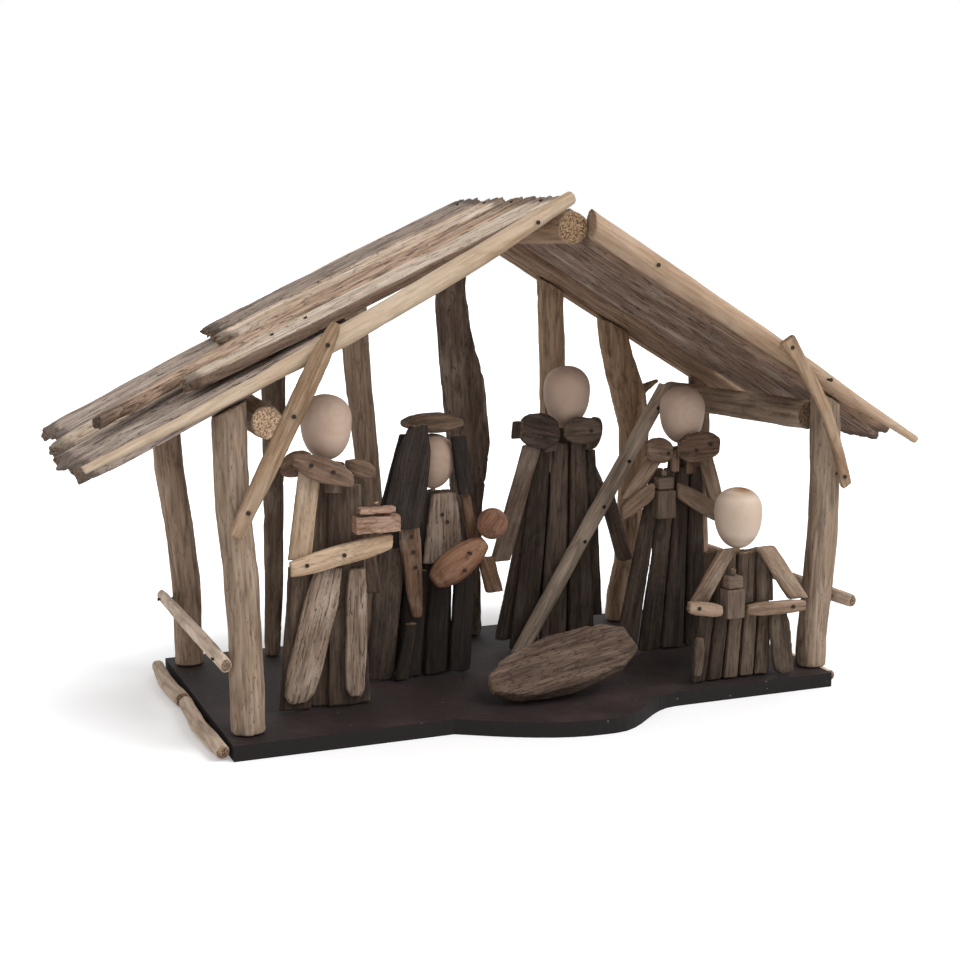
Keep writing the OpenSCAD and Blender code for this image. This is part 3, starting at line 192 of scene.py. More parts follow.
def makeWorld(settings):
    world = bpy.data.worlds.new("studio")
    bpy.context.scene.world = world
    world.use_nodes = True
    tree = world.node_tree
    tree.nodes.clear()
    ray = addNode(tree, "ShaderNodeLightPath")
    seen = addNode(tree, "ShaderNodeMath", {"operation": "MAXIMUM"}, {
        0: ray.outputs["Is Camera Ray"], 1: ray.outputs["Is Glossy Ray"]})
    seen = addNode(tree, "ShaderNodeMath", {"operation": "MAXIMUM"}, {
        0: seen.outputs[0], 1: ray.outputs["Is Transmission Ray"]})
    soft, full = (addNode(tree, "ShaderNodeBackground", None, {"Color": white, "Strength": level})
                  for level in (settings["worldLevel"], 1.0))
    mix = addNode(tree, "ShaderNodeMixShader", None, {
        0: seen.outputs[0], 1: soft.outputs[0], 2: full.outputs[0]})
    addNode(tree, "ShaderNodeOutputWorld", None, {"Surface": mix.outputs[0]})


def addSun(name, source, strength, angleDeg):
    data = bpy.data.lights.new(name, "SUN")
    data.energy = strength
    data.angle = math.radians(angleDeg)
    lamp = bpy.data.objects.new(name, data)
    bpy.context.scene.collection.objects.link(lamp)
    lamp.rotation_euler = Vector(source).to_track_quat("Z", "Y").to_euler()


makeFloor(studio)
makeWorld(studio)
addSun("keyLight", studio["keyFrom"], studio["keyStrength"], studio["keyAngleDeg"])
addSun("fillLight", studio["fillFrom"], studio["fillStrength"], studio["fillAngleDeg"])
print("studio set")


# Driftwood: every stick is cut from its CAD solid, remeshed and worn along its own grain

def driftwoodMaterial(name, settings):
    # weathered driftwood, sea-washed and sun-bleached: dull, open grain with dark checks along it
    material, tree = newMaterial(name)
    colours = {key: colourOf(value) for key, value in settings.items() if isinstance(value, str)}
    marks = {}
    for key in ("grain", "tone", "hollow", "endGrain", "stain"):
        marks[key] = addNode(tree, "ShaderNodeAttribute", {
            "attribute_name": key, "attribute_type": "GEOMETRY"})
    grain = marks["grain"].outputs["Vector"]

    # patterns drawn out along the grain, which holds millimetres, so a scale is one over a real size
    patterns = {
        "fibres": (settings["fibreLongMm"], settings["fibreMm"], 0, {"Detail": 5.0, "Roughness": 0.62}),
        "bands": (settings["bandLongMm"], settings["bandMm"], 7.3, {"Detail": 3.0, "Distortion": 0.4}),
        "stains": (*settings["stainMm"], 3.1, {"Detail": 4.0, "Roughness": 0.6}),
        "checks": (settings["checkLongMm"], settings["checkMm"], 11.9, {
            "Detail": 3.0, "Roughness": 0.55}),
    }
    drawn = {}
    for key, (longMm, wideMm, shift, more) in patterns.items():
        place = addNode(tree, "ShaderNodeMapping", None, {
            "Vector": grain, "Location": (shift, shift, shift),
            "Scale": (1 / longMm, 1 / wideMm, 1 / wideMm)}).outputs[0]
        drawn[key] = addNode(tree, "ShaderNodeTexNoise", None, {
            "Vector": place, "Scale": 1.0, **more}).outputs["Fac"]

    # a check is a thin dark line where its noise crosses the middle; cut ends show open pores
    offMiddle = addNode(tree, "ShaderNodeMath", {"operation": "SUBTRACT"}, {0: drawn["checks"], 1: 0.5})
    offMiddle = addNode(tree, "ShaderNodeMath", {"operation": "ABSOLUTE"}, {0: offMiddle.outputs[0]})
    pores = addNode(tree, "ShaderNodeTexNoise", None, {
        "Vector": grain, "Scale": 1 / settings["poreMm"], "Detail": 3.0, "Roughness": 0.7})
    place = addNode(tree, "ShaderNodeTexCoord").outputs["Object"]
    height = addNode(tree, "ShaderNodeSeparateXYZ", None, {0: place})
    ranges = {
        "bleach": (drawn["stains"], settings["bleachFrom"], (0.0, settings["bleachShare"]), "LINEAR"),
        "damp": (drawn["stains"], settings["stainFrom"], (0.0, settings["stainShare"]), "LINEAR"),
        "check": (offMiddle.outputs[0], (0.0, settings["checkWidth"]), (settings["checkShare"], 0.0),
                  "SMOOTHSTEP"),
        "pore": (pores.outputs["Fac"], settings["poreFrom"], (0.0, 1.0), "LINEAR"),
        # painted shade, darker towards the board by height
        "foot": (height.outputs["Z"], settings["footFrom"], (0.0, settings["footShade"]),
                 "SMOOTHSTEP"),
    }
    shares = {}
    for key, (value, source, target, shape) in ranges.items():
        shares[key] = addNode(tree, "ShaderNodeMapRange", {"interpolation_type": shape}, {
            "Value": value, "From Min": source[0], "From Max": source[1],
            "To Min": target[0], "To Max": target[1]}).outputs[0]
    worn = addNode(tree, "ShaderNodeMath", {"operation": "MULTIPLY"}, {
        0: marks["hollow"].outputs["Fac"], 1: settings["hollowShare"]})
    dark = addNode(tree, "ShaderNodeMath", {"operation": "MAXIMUM"}, {
        0: shares["check"], 1: worn.outputs[0]})
    barkShare = addNode(tree, "ShaderNodeMath", {"operation": "MULTIPLY"}, {
        0: marks["stain"].outputs["Fac"], 1: settings["barkShare"]})
    cut = addNode(tree, "ShaderNodeMix", colourMix, {
        0: shares["pore"], 6: colours["endDark"], 7: colours["endLight"]})
    bark = addNode(tree, "ShaderNodeMix", colourMix, {
        0: drawn["fibres"], 6: colours["barkDark"], 7: colours["barkLight"]})

    # the wood's own colour, then each layer over the one before
    blend = addNode(tree, "ShaderNodeMix", {"data_type": "FLOAT"}, {
        0: settings["bandShare"], 2: drawn["fibres"], 3: drawn["bands"]})
    shifted = addNode(tree, "ShaderNodeMath", {"operation": "MULTIPLY_ADD"}, {
        0: marks["tone"].outputs["Fac"], 1: settings["toneShare"], 2: blend.outputs[0]})
    ramp = addNode(tree, "ShaderNodeValToRGB", None, {"Fac": shifted.outputs[0]})
    setStops(ramp, list(zip(settings["stops"], (colours["dark"], colours["mid"], colours["light"]))))
    colour = ramp.outputs[0]
    for share, over in (
            (shares["bleach"], colours["bleached"]),
            (shares["damp"], colours["dark"]),
            (dark.outputs[0], colours["crack"]),
            (marks["endGrain"].outputs["Fac"], cut.outputs[2]),
            (barkShare.outputs[0], bark.outputs[2]),  # bark or rot left along one face
            (shares["foot"], colours["crack"])):  # painted shade: figures darken towards the board, where shade falls inside the stable
        colour = addNode(tree, "ShaderNodeMix", colourMix, {0: share, 6: colour, 7: over}).outputs[2]

    relief = addNode(tree, "ShaderNodeMath", {"operation": "MULTIPLY_ADD"}, {
        0: shares["check"], 1: settings["checkRelief"], 2: drawn["fibres"]})
    bump = addNode(tree, "ShaderNodeBump", None, {
        "Height": relief.outputs[0], "Strength": settings["bumpStrength"],
        "Distance": settings["bumpDeep"]})
    wood = addNode(tree, "ShaderNodeBsdfPrincipled", None, {
        "Base Color": colour, "Roughness": settings["roughness"],
        "Specular IOR Level": settings["specular"], "Normal": bump.outputs[0]})
    closeMaterial(tree, wood.outputs[0])
    return material


woodBase = {
    "fibreMm": 1.5, "fibreLongMm": 26, "bandMm": 7.0, "bandLongMm": 75, "bandShare": 0.45,
    "stops": (0.30, 0.50, 0.72), "toneShare": 0.09,
    "stainMm": (34, 13), "stainFrom": (0.44, 0.28), "stainShare": 0.45,
    "bleachFrom": (0.50, 0.72), "bleachShare": 0.35, "bleached": "#c4b2a0",
    "checkMm": 4.2, "checkLongMm": 42, "checkWidth": 0.012, "checkShare": 0.55, "crack": "#2a201b",
    "hollowShare": 0.7,
    "poreMm": 1.1, "poreFrom": (0.40, 0.60), "endDark": "#4a392c", "endLight": "#9a8068",
    "barkShare": 0.85, "barkDark": "#3a2a22", "barkLight": "#7a5c49",
    "footFrom": (0.095, 0.012), "footShade": 0.0,  # metres above the floor where the painted shade starts and where it is full
    "checkRelief": -1.2, "bumpStrength": 0.55, "bumpDeep": 0.0006, "roughness": 0.86, "specular": 0.22,
}

woodLooks = {
    "greyPost": {"dark": "#64503f", "mid": "#917c69", "light": "#b29d89"},
    "backPost": {"dark": "#624f43", "mid": "#9c836f", "light": "#c4ab94"},
    "dimPost": {"dark": "#40332a", "mid": "#6a584a", "light": "#8e7a68"},
    "purlinEnd": {
        "dark": "#6a564a", "mid": "#a88e78", "light": "#d5b9a1", "endDark": "#8a6a50",
        "endLight": "#f3d3b1"},
    "warmPost": {"dark": "#7d6046", "mid": "#b09378", "light": "#cbb197"},
    "creamPole": {
        "dark": "#9b8064", "mid": "#bea78e", "light": "#d4c1ab", "crack": "#6e5540",
        "checkShare": 0.25, "bleachShare": 0.2, "stainShare": 0.22, "bandMm": 12, "hollowShare": 0.35,
        "bleached": "#dccdb9", "endDark": "#6b543f", "endLight": "#b0977c"},
    "toastPole": {
        "dark": "#7c6149", "mid": "#aa8e75", "light": "#c6ad95", "crack": "#5a4331",
        "checkShare": 0.25, "bleachShare": 0.25, "stainShare": 0.3, "bandMm": 12, "hollowShare": 0.35,
        "bleached": "#d0bda8"},
    "ridgeLog": {
        "dark": "#826852", "mid": "#b3957b", "light": "#cdb59d", "crack": "#4a3728", "checkShare": 0.3,
        "endDark": "#4c3727", "endLight": "#ac8e6e", "hollowShare": 0.4},
    "tanSlat": {
        "dark": "#6f5a48", "mid": "#bea892", "light": "#dfceba", "checkShare": 0.85,
        "checkWidth": 0.02, "bleached": "#d8c9b8", "bleachShare": 0.55, "checkMm": 3.4,
        "endDark": "#463a31", "endLight": "#84705e"},
    "sunSlat": {
        "dark": "#826a56", "mid": "#cfb7a0", "light": "#f1ddca", "checkShare": 0.8, "checkWidth": 0.02,
        "bleached": "#f8e8d8", "bleachShare": 0.6, "checkMm": 3.4, "endDark": "#4c3f35",
        "endLight": "#8f7966"},
    "whiteSlat": {
        "dark": "#85705c", "mid": "#bda792", "light": "#dccbba", "checkShare": 0.7,
        "checkWidth": 0.018, "bleached": "#e6d8c9", "bleachShare": 0.8, "checkMm": 3.6,
        "endDark": "#463a31", "endLight": "#84705e"},
    "greySlat": {
        "dark": "#6a5b4f", "mid": "#a39286", "light": "#c6b7aa", "checkShare": 0.85,
        "checkWidth": 0.02, "checkMm": 3.4, "endDark": "#463a31", "endLight": "#84705e"},
    "streakSlat": {
        "dark": "#5f4a39", "mid": "#b89c85", "light": "#dcc2ab", "crack": "#231a15",
        "checkShare": 0.85, "checkWidth": 0.024, "bandMm": 5.0, "bleached": "#cbb7a4",
        "bleachShare": 0.35, "stainShare": 0.7, "toneShare": 0.0, "endDark": "#3a2e27",
        "endLight": "#6f5c4d"},
    "toastSlat": {
        "dark": "#5a4535", "mid": "#8d7059", "light": "#b3967d", "checkShare": 0.7, "bleachShare": 0.3},
    "shadePlank": {
        "dark": "#63503f", "mid": "#9b8070", "light": "#c3aa97", "crack": "#2e221b",
        "checkShare": 0.85, "checkWidth": 0.022, "bleached": "#cdbbab", "bleachShare": 0.6,
        "checkMm": 3.2},
    "barkPlank": {
        "dark": "#382c26", "mid": "#6c5a4e", "light": "#907d6f", "crack": "#1c1714", "checkShare": 0.85},
    "robe": {
        "dark": "#2c231d", "mid": "#524238", "light": "#7a6858", "crack": "#181310",
        "bleachShare": 0.25, "bleached": "#95846f", "footShade": 0.3},
    "kingRobe": {
        "dark": "#28201b", "mid": "#4a3d34", "light": "#706053", "crack": "#15100e",
        "bleachShare": 0.25, "bleached": "#867765", "footShade": 0.35},
    "duskRobe": {
        "dark": "#1d1714", "mid": "#332a24", "light": "#4d4038", "crack": "#0f0c0a",
        "bleachShare": 0.15, "bleached": "#65594f", "footShade": 0.45},
    "warmRobe": {
        "dark": "#31271f", "mid": "#56473b", "light": "#806d5c", "crack": "#1a1411",
        "bleachShare": 0.3, "bleached": "#9f8d7c", "footShade": 0.3},
    "paleSlat": {
        "dark": "#6b594b", "mid": "#978271", "light": "#bba898", "crack": "#2c221b",
        "checkShare": 0.85, "checkWidth": 0.022, "bleached": "#cdbdad", "bleachShare": 0.6,
        "checkMm": 2.8, "footShade": 0.15},
    "tornSlat": {
        "dark": "#5a4a3e", "mid": "#806d5e", "light": "#a18f80", "crack": "#261d17",
        "checkShare": 0.85, "checkWidth": 0.022, "bleached": "#b3a293", "bleachShare": 0.5,
        "checkMm": 2.8},
    "veil": {
        "dark": "#1c1614", "mid": "#322a27", "light": "#4e433c", "crack": "#100e0c",
        "bleachShare": 0.15, "bleached": "#62564e"},
    "collar": {
        "dark": "#47362b", "mid": "#775e4d", "light": "#9b806b", "crack": "#241a14",
        "bleachShare": 0.25},
    "darkCollar": {
        "dark": "#2c231e", "mid": "#54463d", "light": "#7b685a", "crack": "#171210",
        "bleachShare": 0.15},
    "brownCap": {
        "dark": "#46382d", "mid": "#76604f", "light": "#98806c", "crack": "#221a15",
        "bleachShare": 0.25},
    "paleArm": {
        "dark": "#7f6850", "mid": "#ad937a", "light": "#c8b199", "crack": "#56432f", "checkShare": 0.3},
    "braceWood": {
        "dark": "#70583f", "mid": "#9d8268", "light": "#bca187", "crack": "#4a3726", "checkShare": 0.3},
    "dullArm": {
        "dark": "#54443a", "mid": "#866e5b", "light": "#a68e79", "crack": "#2d221b", "checkShare": 0.4},
    "brownArm": {
        "dark": "#433023", "mid": "#6c513f", "light": "#886d5a", "crack": "#261a14", "checkShare": 0.4},
    "redBaby": {
        "dark": "#503527", "mid": "#7b5640", "light": "#99735c", "crack": "#362115", "checkShare": 0.3,
        "bleachShare": 0.1, "stainShare": 0.3, "endDark": "#63412d", "endLight": "#825e47"},
    "staffWood": {
        "dark": "#706254", "mid": "#aa9684", "light": "#cdb9a6", "crack": "#3e332b", "checkShare": 0.4,
        "bleached": "#dac9b6", "footShade": 0.4},
    "fatherArm": {
        "dark": "#40342c", "mid": "#66544a", "light": "#84705f", "crack": "#211914", "checkShare": 0.4},
    "creamArm": {
        "dark": "#8e7459", "mid": "#bfa387", "light": "#d8c1a8", "crack": "#5f4a34", "checkShare": 0.3,
        "bleached": "#decbb5"},
    "babyHead": {
        "dark": "#674837", "mid": "#956c57", "light": "#b18b75", "crack": "#482d1d", "checkShare": 0.3,
        "bleachShare": 0.2, "stainShare": 0.3, "endDark": "#7a533e", "endLight": "#9b775e"},
    "cribRoot": {
        "dark": "#342721", "mid": "#55443a", "light": "#776456", "crack": "#1f1511", "checkShare": 0.7,
        "checkLongMm": 16, "checkMm": 2.6, "checkWidth": 0.03, "bleachShare": 0.3, "fibreMm": 1.1,
        "bleached": "#8d7d70", "barkDark": "#2c1f19", "barkLight": "#5d463a"},
    "pinkBurl": {
        "dark": "#7d5d4b", "mid": "#a98975", "light": "#c6a993", "crack": "#4c3528", "checkShare": 0.5,
        "bleachShare": 0.2, "endDark": "#6e4f3d", "endLight": "#b7957f", "checkLongMm": 8},
    "stubBlock": {
        "dark": "#4f4036", "mid": "#6c5b4f", "light": "#837265", "crack": "#2d221c",
        "checkShare": 0.35, "bleachShare": 0.2},
    "edgeStick": {
        "dark": "#9b8471", "mid": "#cdb6a1", "light": "#ebd8c5", "crack": "#605041", "checkShare": 0.35},
}
woods = {name: driftwoodMaterial(name, {**woodBase, **look}) for name, look in woodLooks.items()}
print("woods mixed")


mergeDistance = 1e-6


def mergedCopy(nodeName):  # a CAD node's triangles, joined where they meet
    bm = bmesh.new()
    bm.from_mesh(nodes[nodeName].data)
    bmesh.ops.remove_doubles(bm, verts=bm.verts, dist=mergeDistance)
    return bm


def looseSolids(bm):  # one bmesh for each closed solid
    bm.verts.ensure_lookup_table()
    left = set(range(len(bm.verts)))
    groups = []
    while left:
        start = min(left)
        seen = {start}
        reach = [start]
        while reach:
            vert = bm.verts[reach.pop()]
            for edge in vert.link_edges:
                other = edge.other_vert(vert).index
                if other not in seen:
                    seen.add(other)
                    reach.append(other)
        left -= seen
        groups.append(seen)
    solids = []
    for group in groups:
        part = bm.copy()
        part.verts.ensure_lookup_table()
        bmesh.ops.delete(part, geom=[v for v in part.verts if v.index not in group], context="VERTS")
        solids.append(part)
    return solids


def remeshed(bm, voxel, roundSteps, name):
    mesh = bpy.data.meshes.new(name)
    bm.to_mesh(mesh)
    worker = bpy.data.objects.new(name, mesh)
    bpy.context.scene.collection.objects.link(worker)
    modifier = worker.modifiers.new("even", "REMESH")
    modifier.mode = "VOXEL"
    modifier.voxel_size = voxel
    modifier.use_smooth_shade = True
    result = bpy.data.meshes.new_from_object(worker.evaluated_get(bpy.context.evaluated_depsgraph_get()))
    bpy.data.objects.remove(worker)
    soft = bmesh.new()
    soft.from_mesh(result)
    for _ in range(roundSteps):  # each step rounds the edges by a share of a voxel
        bmesh.ops.smooth_vert(soft, verts=soft.verts, factor=0.5, use_axis_x=True, use_axis_y=True,
                              use_axis_z=True)
    soft.to_mesh(result)
    soft.free()
    return result


def grainAxes(points):  # the stick's middle and its own three directions, the longest first
    middle = (points.min(0) + points.max(0)) / 2
    spread = points - points.mean(0)
    axes = np.linalg.eigh(spread.T @ spread)[1]
    turn = axes[:, ::-1].T
    if turn[0][np.argmax(np.abs(turn[0]))] < 0:
        turn[0] = -turn[0]
    turn[2] = np.cross(turn[0], turn[1])
    local = (points - middle) @ turn.T
    middle = middle + ((local.min(0) + local.max(0)) / 2) @ turn
    return middle, turn


def smoothStep(value):
    value = np.clip(value, 0, 1)
    return value * value * (3 - 2 * value)


def noiseOf(coords):
    return np.array([noise.noise(c) for c in coords])


wearForm = {
    "lumpAcrossMm": 9.0,
    "grooveWidth": 0.16, "fineWidth": 0.2,  # in steps of the noise
    "fineLong": 0.6, "fineAcross": 0.45, "fineDeep": 0.35,  # of the grooves' own sizes
    "endCalm": 0.7,  # share of the wear that the cut ends escape
    "raggedZoneMm": 22.0, "cutMm": (7.0, 9.0), "toothMm": (2.1, 4.0), "toothShare": 0.28,
    "wanderMm": 38.0, "smallWanderMm": 9.0, "smallWanderShare": 0.25,
    "hollowMix": (0.75, 0.3, 0.25),
    "streakMm": (2.6, 4.0), "tipPastMm": 6.0,
    "endFrom": 0.75, "endWide": 0.2, "barkFrom": 0.3, "barkWide": 0.35,
    "cutMix": (0.45, 0.9), "tipMix": (0.7, 0.9),  # a middle value and how far the noise moves it
    # keeps the noise of the two ends, or of the two edges, apart
    "apart": {"cut": 40, "tooth": 70, "tip": 31, "wander": 3.3, "smallWander": 8.3},
    "shiftStep": (17.31, 5.77, 9.13), "shiftWrap": (91, 53, 47),  # another place in the noise per seed
    "toneStep": 0.61803,
}


def meshVectors(count, collection, name):
    values = np.empty(count * 3)
    collection.foreach_get(name, values)
    return values.reshape(-1, 3)


def crease(value, width):  # 1 where the noise crosses its middle, falling to 0
    return 1 - np.clip(np.abs(value) / width, 0, 1)


def wearStick(mesh, settings, seed):
    # wears the points inwards; the remesh before it can stand out by a quarter of a millimetre
    form = wearForm
    count = len(mesh.vertices)
    points = meshVectors(count, mesh.vertices, "co")
    normals = meshVectors(count, mesh.vertex_normals, "vector")
    middle, turn = grainAxes(points)
    local = (points - middle) @ turn.T * 1000  # millimetres: along, across, through
    half = np.abs(local).max(0)
    shift = seed * np.array(form["shiftStep"]) % form["shiftWrap"]
    apart = form["apart"]

    def noiseAt(longMm, acrossMm, times=1):
        return noiseOf(local / (longMm, acrossMm, acrossMm) + shift * times)

    def edgeNoise(along, spread):  # one value along each of the two edges
        return 0.5 + 0.5 * noiseOf(np.stack(
            [local[:, 0] / along, np.sign(local[:, 1]) * spread, local[:, 0] * 0], 1) + shift)

    def endNoise(side, sizes):  # one value for each fibre at each end
        return noiseOf(np.stack([side, local[:, 1] / sizes[0], local[:, 2] / sizes[1]], 1) + shift)

    longMm, acrossMm, deepMm = settings["grooveLongMm"], settings["grooveMm"], settings["grooveDeepMm"]
    lumps = 0.5 + 0.5 * noiseAt(settings["lumpLongMm"], form["lumpAcrossMm"])
    groove = crease(noiseAt(longMm, acrossMm, 2), form["grooveWidth"])
    fine = crease(noiseAt(longMm * form["fineLong"], acrossMm * form["fineAcross"], 3),
                  form["fineWidth"])
    inward = settings["lumpMm"] * lumps + deepMm * groove + form["fineDeep"] * deepMm * fine
    onEnd = np.abs(normals @ turn[0])
    inward = inward * (1 - form["endCalm"] * onEnd)
    moved = local - (normals @ turn.T) * inward[:, None]

    # ragged, broken ends: runs of fibres that stop short
    if settings["raggedMm"] > 0:
        zone = min(form["raggedZoneMm"], half[0] * 0.5)
        toEnd = smoothStep((np.abs(moved[:, 0]) - (half[0] - zone)) / zone)
        side = np.sign(moved[:, 0])
        piece = endNoise(side * apart["cut"] + seed, form["cutMm"])
        tooth = endNoise(side * apart["tooth"] + seed, form["toothMm"])
        level, swing = form["cutMix"]
        short = np.clip(level + swing * piece, 0, 1) + form["toothShare"] * (0.5 + tooth)
        moved[:, 0] -= side * toEnd * (settings["raggedMm"] * short)

    # edges wander in and out along the stick
    if settings["wanderShare"] > 0:
        wander = edgeNoise(form["wanderMm"], apart["wander"])
        small = edgeNoise(form["smallWanderMm"], apart["smallWander"])
        both = (1 - form["smallWanderShare"]) * wander + form["smallWanderShare"] * small
        edge = np.abs(moved[:, 1]) / max(half[1], 0.001)
        moved[:, 1] *= 1 - settings["wanderShare"] * both * edge * edge

    points = moved / 1000 @ turn + middle
    mesh.vertices.foreach_set("co", points.ravel())
    mesh.update()
    grain = local + shift * 10
    grooveShare, fineShare, offset = form["hollowMix"]
    hollow = np.clip(grooveShare * groove + fineShare * fine - offset, 0, 1)
    if settings["tipMm"] > 0:  # weather blackens the broken ends, fibre by fibre
        streak = endNoise(np.sign(local[:, 0]) * apart["tip"], form["streakMm"])
        level, swing = form["tipMix"]
        reach = settings["tipMm"] * (level + swing * streak)
        tip = smoothStep((np.abs(local[:, 0]) - half[0] + reach + form["tipPastMm"]) / (reach + 1.0))
        hollow = np.maximum(hollow, tip * settings["tipShare"])
    onBark = normals @ np.array(settings["barkSide"])
    marks = {
        "tone": np.full(count, (seed * form["toneStep"]) % 1.0 * 2 - 1),
        "hollow": hollow,
        "endGrain": smoothStep((onEnd - form["endFrom"]) / form["endWide"]),
        "stain": smoothStep((onBark - form["barkFrom"]) / form["barkWide"]),
    }
    return grain, marks


def seedOf(nodeName, index):  # the same in every run
    return sum(ord(c) * (i + 1) for i, c in enumerate(nodeName)) % 997 + index * 3


def addMark(mesh, name, kind, values):  # one value for each vertex
    key = "vector" if kind == "FLOAT_VECTOR" else "value"
    mesh.attributes.new(name, kind, "POINT").data.foreach_set(key, values)


def makeDriftwood(nodeName, look, settings, others=()):
    # others are (a point in millimetres, a look): the solid whose middle is nearest takes that look
    source = mergedCopy(nodeName)
    solids = looseSolids(source)
    source.free()
    middles = [np.array([v.co for v in solid.verts]) * 1000 for solid in solids]
    middles = [(m.min(0) + m.max(0)) / 2 for m in middles]
    looks = [look] + [other for point, other in others]
    slotIndex = [0] * len(solids)
    for number, (point, other) in enumerate(others):
        slotIndex[int(np.argmin([np.linalg.norm(m - np.array(point)) for m in middles]))] = number + 1
    total = bmesh.new()
    grains, marks = [], []
    for index, solid in enumerate(solids):
        mesh = remeshed(solid, settings["voxelMm"] / 1000, settings["roundSteps"], nodeName)
        solid.free()
        grain, mark = wearStick(mesh, settings, seedOf(nodeName, index))
        grains.append(grain)
        marks.append(mark)
        first = len(total.faces)
        total.from_mesh(mesh)
        total.faces.ensure_lookup_table()
        for number in range(first, len(total.faces)):
            total.faces[number].material_index = slotIndex[index]
            total.faces[number].smooth = True
        bpy.data.meshes.remove(mesh)
    mesh = bpy.data.meshes.new(nodeName + "_wood")
    total.to_mesh(mesh)
    total.free()
    addMark(mesh, "grain", "FLOAT_VECTOR", np.concatenate(grains).ravel())
    for name in marks[0]:
        addMark(mesh, name, "FLOAT", np.concatenate([m[name] for m in marks]))
    for name in looks:
        mesh.materials.append(woods[name])
    made = bpy.data.objects.new(mesh.name, mesh)
    bpy.context.scene.collection.objects.link(made)
    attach(made, "root")
    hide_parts(nodeName)


poleWear = {
    "voxelMm": 1.3, "lumpMm": 0.5, "lumpLongMm": 22, "grooveMm": 5.5, "grooveLongMm": 45,
    "grooveDeepMm": 0.45, "raggedMm": 0.0, "wanderShare": 0.0, "barkSide": (0, 0, 0), "roundSteps": 2,
    "tipMm": 0.0, "tipShare": 0.9}
postWear = {**poleWear, "lumpMm": 0.9, "grooveDeepMm": 0.7}
smoothPole = {**poleWear, "lumpMm": 0.5, "grooveDeepMm": 0.15, "grooveMm": 7}
slatWear = {
    **poleWear, "voxelMm": 1.1, "lumpMm": 0.5, "grooveMm": 3.0, "grooveLongMm": 70,
    "grooveDeepMm": 0.85, "raggedMm": 7.0, "wanderShare": 0.12, "tipMm": 12.0}
plankWear = {**slatWear, "raggedMm": 4.0, "wanderShare": 0.06}
figureWear = {
    **poleWear, "voxelMm": 0.9, "lumpMm": 0.35, "grooveMm": 2.8, "grooveLongMm": 40,
    "grooveDeepMm": 0.4, "raggedMm": 1.0, "wanderShare": 0.08}
chipWear = {**figureWear, "raggedMm": 1.2, "wanderShare": 0.14, "grooveDeepMm": 0.3, "roundSteps": 6}
armWear = {**figureWear, "grooveDeepMm": 0.2, "raggedMm": 0.8, "wanderShare": 0.12, "roundSteps": 5}
blockWear = {
    **armWear, "raggedMm": 0.0, "wanderShare": 0.03, "voxelMm": 0.6, "lumpMm": 0.5, "roundSteps": 6}
burlWear = {
    **blockWear, "lumpMm": 1.5, "lumpLongMm": 6, "grooveDeepMm": 0.6, "grooveLongMm": 12,
    "roundSteps": 14}

